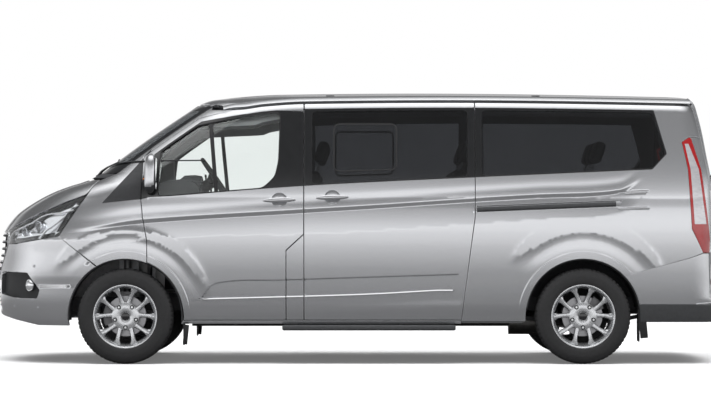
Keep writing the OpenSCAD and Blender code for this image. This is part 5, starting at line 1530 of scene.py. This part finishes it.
def bumper_uv(pts):
    p = np.array(pts, float)
    d = p[:, 0] - (TAIL_X - TAIL_BOW + smooth(OUT, p[:, 1]) - 150)
    u = np.where(d < 0, 843 + 75 * np.pi - d, 843 + 150 * np.arccos(np.clip(d / 150, -1, 1)))
    return np.stack([-u, p[:, 1]], 1)


def rear_bumper():
    low = math.degrees(math.asin((TYRE_R - 303) / ARCH_R))
    side = along([[TAIL_X - 260, 303], [RX + ARCH_R * math.cos(math.radians(low)), 303]], 14)
    side += arc(RX, TYRE_R, ARCH_R, -low, 44.6, 34)[1:]
    side += along([side[-1], [TAIL_X - 271, 761], [TAIL_X - 165, 799]], 14)[1:]
    side = bumper_uv(side)
    bottom = [[u, 303.0] for u in np.linspace(0, side[0, 0] + 14, 90)]
    top = along([[side[-1, 0] + 14, 799], [-897, 799], [-890, 714], [0, 714]], 14)
    half = bottom + side.tolist() + top
    outline = half + [[-u, z] for u, z in half[::-1] if u < -0.01]
    dark = [[-1700, 290], [1700, 290], [1700, 433], [-1700, 433]]
    rails = [[u, z] for z in (360, 420, 428, 433.5, 437, 441, 448, 520, 640) for u in np.arange(-1500, 1500, 18.0)]
    skin = Skin(bumper_point, outline, (), 26, rails, None, zones=((dark, 1),), edge=13)
    parts = [skin.build(30)]
    for s in (1, -1):
        x = TAIL_X + float(smooth(OUT, 560)) + 0.5
        parts.append(box_part((x, s * 690, 590), (5, 190, 40), 4, 2, seg=2))
        for y in (300, 640):
            parts.append(lathe([[0, 1], [9, 1], [11, 0], [11, -3]], 20, "X", (x, s * y, 505), 1))
    make("rear_bumper_skin", joined(parts), [PAINT, GREY_PLASTIC, LENS_RED], "body", ["rear_bumper"])


# ---- Wheels ---------------------------------------------------------------------------------
WHEEL_Y = 868.5


def tyre_part():
    """Local to the wheel's centre, outer side towards -Y."""
    side = [[224, 93], [230, 101], [238, 104], [243, 106.5], [262, 107.5], [284, 107.5], [300, 106.5], [306, 104],
            [318, 101], [329, 95.5], [337, 88], [341.5, 80]]
    tread = [[342.5, 76], [343.6, 60], [336, 59.5], [336, 52], [344.2, 51.5], [344.8, 22], [337, 21.5], [337, 13],
             [345, 12.5]]
    half = side + tread
    profile = [[r, -h] for r, h in half] + [[r, h] for r, h in half[::-1]]
    n, k = len(profile), len(half)

    def bump(j, a):
        d = j if j < k else n - 1 - j
        pitch = (a * 64 / (2 * math.pi) + (0.5 if j >= k else 0)) % 1
        cut = 1.0 if pitch < 0.24 else 0.0
        if len(side) - 2 <= d <= len(side) + 1:
            return -6.0 * cut
        if d in (len(side) + 4, len(side) + 5):
            return -3.5 * cut
        return 0.0
    return lathe(profile, 256, "Y", (0, 0, 0), 0, None, 0.0, bump)


def rim_part():
    barrel = [[196, 70], [199, 40], [199, -20], [203, -62], [208, -78], [213, -88], [218, -96], [224, -101],
              [230, -101], [231.5, -96], [228, -88], [220, -84], [215, -60], [215, 60], [222, 90], [231, 96]]
    parts = [lathe(barrel, 120, "Y", mat=0)]
    hub = [[0, -57], [31, -57], [36, -62], [44, -64], [92, -66], [99, -62], [101, -54], [98, -38], [60, -30], [0, -30]]
    parts.append(lathe(hub, 100, "Y", mat=0))
    parts.append(lathe([[0, -66], [18, -65.5], [27, -63.5], [30, -60], [30, -56]], 48, "Y", mat=2))
    for i in range(5):
        base = math.radians(90 + 72 * i)
        for s in (-1, 1):
            rings = []
            for r in (84, 96, 112, 135, 160, 182, 196, 206, 212):
                t = (r - 84) / 128
                ang = base + s * math.radians(12.0 + 7.5 * t)
                w = 19 - 4.5 * math.sin(math.pi * min(t * 1.1, 1)) + 9 * max(0, t - 0.75) * 4
                h = -64 - 4 * t - 20 * max(0, t - 0.35) ** 1.4
                deep = 30 - 6 * t
                rad = np.array([math.cos(ang), 0, math.sin(ang)])
                tan = np.array([-math.sin(ang), 0, math.cos(ang)])
                c = rad * r
                rings.append([c + tan * a * w / 14 + [0, h + b, 0] for a, b in
                              ((-14, 7), (-10, 1), (0, -0.8), (10, 1), (14, 7), (10, deep), (-10, deep))])
            parts.append(loft(rings, True, True, 0))
        # A nut on a round seat sits between each pair and the next.
        a = base + math.radians(36)
        c = (80 * math.cos(a), 0, 80 * math.sin(a))
        parts.append(lathe([[0, -66.6], [15.5, -66.6], [16.5, -65]], 28, "Y", c, 1))
        parts.append(lathe([[0, -76], [7, -76], [10, -73], [10.5, -66]], 6, "Y", c, 3))
    parts.append(lathe([[221, -92], [224, -96], [226, -92]], 8, "Y", (0, 0, 0), 0))
    valve = 205 * np.array([math.cos(2.2), 0, math.sin(2.2)])
    parts.append(tube([valve + [0, -80, 0], valve + [0, -104, 0] - valve * 0.03], 4, 8, 2))
    return joined(parts)


def brake_part():
    disc = [[40, 34], [70, 34], [72, 22], [146, 22], [148, 20], [148, 2], [146, 0], [72, 0], [62, -8], [40, -8]]
    return lathe(disc, 80, "Y", mat=0)


def caliper_part(front):
    rings = []
    for a in np.linspace(math.radians(150 if front else 20), math.radians(205 if front else 60), 9):
        c, s = math.cos(a), math.sin(a)
        rings.append([[r * c, h, r * s] for r, h in ((96, -16), (150, -24), (164, -18), (164, 34), (150, 40), (96, 34))])
    return loft(rings, True, True, 0)


def flip_y(part):
    v, n, f, m = part
    return v * [1, -1, 1], n * [1, -1, 1], [q[::-1] for q in f], m


def placed(part, at):
    return part[0] + np.array(at, float), part[1], part[2], part[3]


def wheels():
    tyre, rim, disc = tyre_part(), rim_part(), brake_part()
    for where, x in (("front", FX), ("rear", RX)):
        for side, s in (("left", -1), ("right", 1)):
            at = (x, s * WHEEL_Y, TYRE_R)
            pick = (lambda p: placed(p, at)) if s < 0 else (lambda p: placed(flip_y(p), at))
            body = f"wheel_{where}_{side}"
            make(f"tyre_look_{where}_{side}", pick(tyre), [TYRE], body, [f"tyre_{where}_{side}"], smooth_angle=28)
            make(f"rim_look_{where}_{side}", pick(rim), [ALLOY, GLOSS, GLOSS, CHROME], body, [f"rim_{where}_{side}"])
            make(f"brake_disc_{where}_{side}", pick(disc), [DISC], body, ())
            hub = f"knuckle_{side}" if where == "front" else "body"
            make(f"caliper_{where}_{side}", pick(caliper_part(where == "front")), [CAST], hub, ())


# ---- Mirrors, steps, mud flaps --------------------------------------------------------------
def mirror_part():
    rings = []
    n = 40
    for z in np.linspace(0, 1, 26):
        k = (1 - abs(2 * z - 1) ** 3.4) ** 0.42 if 0 < z < 1 else 0.12
        k = max(k, 0.12)
        lean = (z - 0.5) * 22
        c = np.array([-1468 + lean * 0.4, -1052 + lean, 1232 + 284 * z])
        ring = []
        for a in np.linspace(0, 2 * np.pi, n, endpoint=False):
            ca, sa = math.cos(a), math.sin(a)
            x = 38 * k * np.sign(ca) * abs(ca) ** 0.55 if ca > 0 else 50 * k * np.sign(ca) * abs(ca) ** 0.9
            ring.append(c + [x, (72 + 4 * k) * k * np.sign(sa) * abs(sa) ** 0.8, 0])
        rings.append(ring)
    shell = loft(rings)
    v = shell[0]
    mats = []
    for q in shell[2]:
        m = v[q].mean(0)
        mats.append(1 if m[2] < 1282 + 0.12 * (m[0] + 1468) or m[0] > -1440 else 0)
    parts = [(shell[0], shell[1], shell[2], mats)]
    parts.append(box_part((-1429, -1055, 1402), (8, 112, 164), 4, 2, Euler((0, 0.03, 0)), 3))
    parts.append(box_part((-1429, -1050, 1284), (8, 96, 46), 4, 2, Euler((0, 0.03, 0)), 3))
    parts.append(tube([[-1486, -935, 1262], [-1482, -975, 1258], [-1474, -1012, 1262], [-1470, -1035, 1280]],
                      [36, 30, 25, 24], 14, 1, 0.75))
    parts.append(tube([[-1519, -1062, 1330], [-1521, -1078, 1332], [-1513, -1098, 1336]], [6, 6, 4], 8, 3, 1.0))
    return joined(parts)


def fittings():
    mirror = mirror_part()
    base_line = rounded([[-1540, 1196], [-1420, 1208], [-1404, 1330], [-1440, 1360], [-1475, 1370]], 12)
    for side, part in (("left", mirror), ("right", mirrored(mirror))):
        make(f"mirror_{side}", part, [PAINT, PLASTIC, MIRROR, LENS_AMBER], f"front_door_{side}",
             [f"door_mirror_{side}"])
    x0, x1 = B_X - 160, C_LOW - 40
    parts = [box_part(((x0 + x1) / 2, -903, 263), (x1 - x0, 140, 40), 13, 0, seg=3)]
    for k in range(5):
        parts.append(box_part(((x0 + x1) / 2, -858 - 22 * k, 283.2), (x1 - x0 - 90, 9, 3), 1.2, 1))
    for x in (x0 + 150, (x0 + x1) / 2, x1 - 150):
        parts.append(box_part((x, -850, 262), (46, 60, 20), 3, 2))
    make("step_boards", both_sides(joined(parts)), [GREY_PLASTIC, RUBBER, STEEL], "body", ["side_steps"])
    parts = []
    for x, ya, yb, za, zb in ((-1238.5, -960, -806, 137, 284), (2045, -946, -806, 162, 404)):
        rings = []
        for t in np.linspace(0, 1, 12):
            z = zb + (za - zb) * t
            bow = 3.0 * math.sin(math.pi * t)
            w = (yb - ya) / 2 - (3 if t > 0.92 else 0)
            c = (ya + yb) / 2
            rings.append([[x + dx * 3.6 + (-1 if x < 0 else 1) * -bow * 0.3, c + dy * w, z]
                          for dx, dy in ((-1, -1), (-1, -0.4), (-1.2, 0), (-1, 0.4), (-1, 1), (1, 1), (1, 0), (1, -1))])
        parts.append(loft(rings, True, True, 0))
        for k in (-1, 0, 1):
            parts.append(box_part((x - 3.2, (ya + yb) / 2 + 42 * k, (za + zb) / 2), (1.6, 8, (zb - za) * 0.7), 0.6, 0))
    parts.append(box_part((-1222, -957, 214), (34, 8, 142), 3.5, 0, Euler((0, 0.10, 0))))
    parts.append(box_part((2072, -940, 292), (56, 8, 210), 3.5, 0, Euler((0, -0.10, 0))))
    make("mud_flap_rubbers", both_sides(joined(parts)), [RUBBER], "body", ["mud_flaps"])


# ---- Cabin ----------------------------------------------------------------------------------
def puffed(name, size, voxel=0.012, cap=0.016):
    """A stuffed block of this size in metres, centred on the origin, as vertices and faces."""
    scene = bpy.context.scene
    bm = bmesh.new()
    bmesh.ops.create_cube(bm, size=1.0)
    lean = np.array(size) - 2 * cap * 0.55
    bmesh.ops.scale(bm, vec=lean, verts=bm.verts)
    bmesh.ops.bevel(bm, geom=bm.edges[:], offset=min(size) * 0.24, segments=4, affect="EDGES", profile=0.5)
    me = bpy.data.meshes.new(name)
    bm.to_mesh(me)
    bm.free()
    ob = bpy.data.objects.new(name, me)
    scene.collection.objects.link(ob)
    mod = ob.modifiers.new("even", "REMESH")
    mod.mode = "VOXEL"
    mod.voxel_size = voxel
    even = bpy.data.meshes.new_from_object(ob.evaluated_get(bpy.context.evaluated_depsgraph_get()))
    ob.modifiers.clear()
    ob.data = even
    rest = np.array([v.co[:] for v in even.vertices])
    faces = [list(p.vertices) for p in even.polygons]
    cloth = ob.modifiers.new("Cloth", "CLOTH")
    cloth.settings.use_pressure = True
    cloth.settings.uniform_pressure_force = 4
    cloth.settings.effector_weights.gravity = 0
    cloth.settings.quality = 4
    for f in range(1, 21):
        scene.frame_set(f)
    final = ob.evaluated_get(bpy.context.evaluated_depsgraph_get()).to_mesh()
    after = np.array([v.co[:] for v in final.vertices])
    scene.frame_set(1)
    step = after - rest
    far = np.linalg.norm(step, axis=1, keepdims=True)
    after = rest + step * np.minimum(1, cap / np.maximum(far, 1e-9))
    bpy.data.objects.remove(ob)
    half = np.array(size) / 2
    return np.clip(after, -half, half), faces


def sewn(v, w, length, up, lines):
    """Sinks seams into the face towards +Z, and raises a bolster along each side."""
    v = v.copy()
    top = ramp(v[:, 2], up * 0.1, up * 0.6)
    for axis, at, depth in lines:
        for s in (-1, 1):
            v[:, 2] -= top * depth * np.exp(-((v[:, axis] - s * at) / 0.008) ** 2)
    v[:, 2] -= top * 0.016 * (1 - ramp(np.abs(v[:, 1]), w * 0.26, w * 0.40))
    return v


def seat_matrix(x, y, z, lean=0.0):
    return Matrix.Translation((x, y, z)) @ Matrix.Rotation(lean, 4, "Y")


def seats():
    cushion = puffed("cushion_form", (0.5, 0.44, 0.12))
    back = puffed("back_form", (0.56, 0.44, 0.11))
    rest = puffed("rest_form", (0.17, 0.26, 0.085), 0.009, 0.010)
    cv = sewn(cushion[0], 0.44, 0.5, 0.06, ((1, 0.118, 0.007), (0, 0.10, 0.005)))
    bv = sewn(back[0], 0.44, 0.56, 0.055, ((1, 0.118, 0.007), (0, 0.13, 0.005)))
    rows = (("front", FX + 651, 520, (-430, 430), "front_seats"), ("second", FX + 1711, 440, (-480, 0, 480), "second_row_seats"),
            ("third", FX + 2691, 350, (-365, 0, 365), "third_row_seats"))
    lean = math.radians(18)
    for row, x, w, ys, node in rows:
        k = w / 440
        base = []
        for i, y in enumerate(ys):
            sx, sy = x * MM, y * MM

            def pad(kind, verts, faces, matrix, fill):
                pts = np.array([(matrix @ Vector((p[0], p[1] * k if kind != "headrest" else p[1], p[2])))[:] for p in verts])
                part = (pts, np.full(pts.shape, np.nan), faces, [0] * len(faces))
                ob = make(f"{row}_{kind}_{i + 1}", part, [FABRIC], "body", (), 1.0, 60)
            pad("cushion", cv, cushion[1], seat_matrix(sx + 0.25, sy, 0.895), 0.8)
            # The back's face looks forward: local +Z turns to -X, local +X turns up.
            foot = Matrix.Translation((sx + 0.4955, sy, 0.905))
            turn = Matrix.Rotation(lean, 4, "Y") @ Matrix(((0, 0, -1, 0), (0, 1, 0, 0), (1, 0, 0, 0), (0, 0, 0, 1)))
            pad("backrest", bv, back[1], foot @ turn @ Matrix.Translation((0.28, 0, -0.055)), 0.8)
            pad("headrest", rest[0], rest[1], foot @ turn @ Matrix.Translation((0.56 + 0.125, 0, -0.055)), 0.9)
            plinth = 340
            base.append(box_part((x + 250, y, 670), (plinth, w - 90, 326), 12, 0))
            base.append(box_part((x + 250, y, 512), (plinth + 90, w - 120, 12), 3, 1))
            for s in (-1, 1):
                a = foot @ turn @ Vector((0.54, s * 0.055, -0.055))
                b = foot @ turn @ Vector((0.64, s * 0.055, -0.055))
                base.append(tube([np.array(a) * 1000, np.array(b) * 1000], 5.5, 10, 2))
                base.append(box_part((x + 440, y + s * (w / 2 - 14), 868), (110, 18, 56), 8, 0))
        make(f"{row}_seat_frames", joined(base), [PLASTIC, STEEL, CHROME], "body", [node])


def dashboard():
    prof = [[-1462, 1262], [-1430, 1306], [-1370, 1330], [-1300, 1340], [-1230, 1338], [-1175, 1322], [-1140, 1290],
            [-1126, 1245], [-1140, 1205], [-1176, 1180], [-1188, 1130], [-1196, 1060], [-1222, 980], [-1250, 964],
            [-1440, 964], [-1462, 990]]
    prof = rounded(prof, 16, 3)
    rings = []
    for y in np.linspace(-786, 786, 40):
        pinch = 1 - 0.02 * (abs(y) / 786) ** 6
        rings.append([[x * 1.0 + (1 - pinch) * -200 * (x > -1300), y, z - 8 * (abs(y) / 786) ** 4 * (z > 1250)] for x, z in prof])
    parts = [loft(rings, True, True, 0)]
    hood = []
    for y in np.linspace(-590, -270, 20):
        t = (y + 430) / 160
        h = 44 * math.sqrt(max(0, 1 - t * t)) + 2
        hood.append([[-1300, y, 1330], [-1260, y, 1336 + h * 0.7], [-1180, y, 1326 + h], [-1134, y, 1318 + h],
                     [-1130, y, 1310 + h * 0.9], [-1140, y, 1296]])
    parts.append(loft(hood, True, True, 0))
    parts.append(box_part((-1135, -430, 1318), (6, 250, 62), 3, 1, Euler((0, -0.25, 0))))
    parts.append(box_part((-1118, 0, 1318), (14, 230, 130), 6, 1, Euler((0, -0.12, 0)), 3))
    parts.append(box_part((-1150, 0, 1150), (60, 240, 150), 12, 0, Euler((0, 0.25, 0)), 3))
    for y in (-720, -190, 190, 720):
        parts.append(box_part((-1124, y, 1262), (12, 96, 54), 8, 2, seg=3))
        for k in range(4):
            parts.append(box_part((-1119, y, 1244 + 12 * k), (8, 84, 3), 1, 1))
    for k in range(5):
        parts.append(lathe([[0, 10], [9, 9], [11, 0]], 18, "X", (-1118, -60 + 30 * k, 1190), 2))
    parts.append(box_part((-1160, 480, 1130), (30, 380, 130), 14, 0, Euler((0, 0.15, 0)), 3))
    parts.append(tube([[-1122, 0, 1086], [-1050, 0, 1120], [-1038, 0, 1160]], [26, 9, 9], 12, 0))
    parts.append(lathe([[0, 24], [12, 22], [17, 10], [14, -8], [0, -12]], 20, "Z", (-1037, 0, 1172), 0))
    make("dashboard_moulding", joined(parts), [TRIM, SCREEN, GREY_PLASTIC], "body", ["dashboard"])


def steering():
    c = np.array([-1029.5, -430, 1342])
    ax = np.array([0.819, 0, 0.574])
    side = np.array([0, 1.0, 0])
    up = np.cross(ax, side)
    up /= np.linalg.norm(up)
    ring = [c + 174 * (side * math.cos(a) + up * math.sin(a)) for a in np.linspace(0, 2 * np.pi, 72, endpoint=False)]
    parts = [tube(ring, 15, 14, 0, 1.0, closed=True, up=ax)]
    for a, w in ((0.05, 17), (math.pi - 0.05, 17), (-math.pi / 2, 21)):
        d = side * math.cos(a) + up * math.sin(a)
        path = [c - ax * 14 + d * r + ax * 14 * (r / 170) ** 2 for r in (40, 80, 120, 166)]
        parts.append(tube(path, [w, w, w * 0.8, w * 0.7], 12, 1, 0.45 if abs(d[1]) < 0.5 else 0.8, up=ax))
    pad = lathe([[0, 16], [30, 15], [52, 9], [62, -4], [60, -26], [44, -44], [0, -48]], 56, "Y", mat=1)
    m = Matrix.Translation(c.tolist()) @ Vector(ax).to_track_quat("Y", "Z").to_matrix().to_4x4()
    parts.append(moved(pad, m))
    for s in (-1, 1):
        parts.append(tube([c - ax * 40 + side * s * 40, c - ax * 40 + side * s * 150 + up * 20], [7, 5], 10, 1, 1.4))
    make("steering_wheel_look", joined(parts), [LEATHER, PLASTIC], "steering_wheel", ["steering_wheel"])


# ---- Everything -----------------------------------------------------------------------------
def build_all():
    windscreen()
    cowl()
    bonnet()
    wings()
    front_bumper()
    grille()
    headlamps()
    sides()
    roof()
    tailgate()
    rear_bumper()
    wheels()
    fittings()
    seats()
    dashboard()
    steering()


build_all()
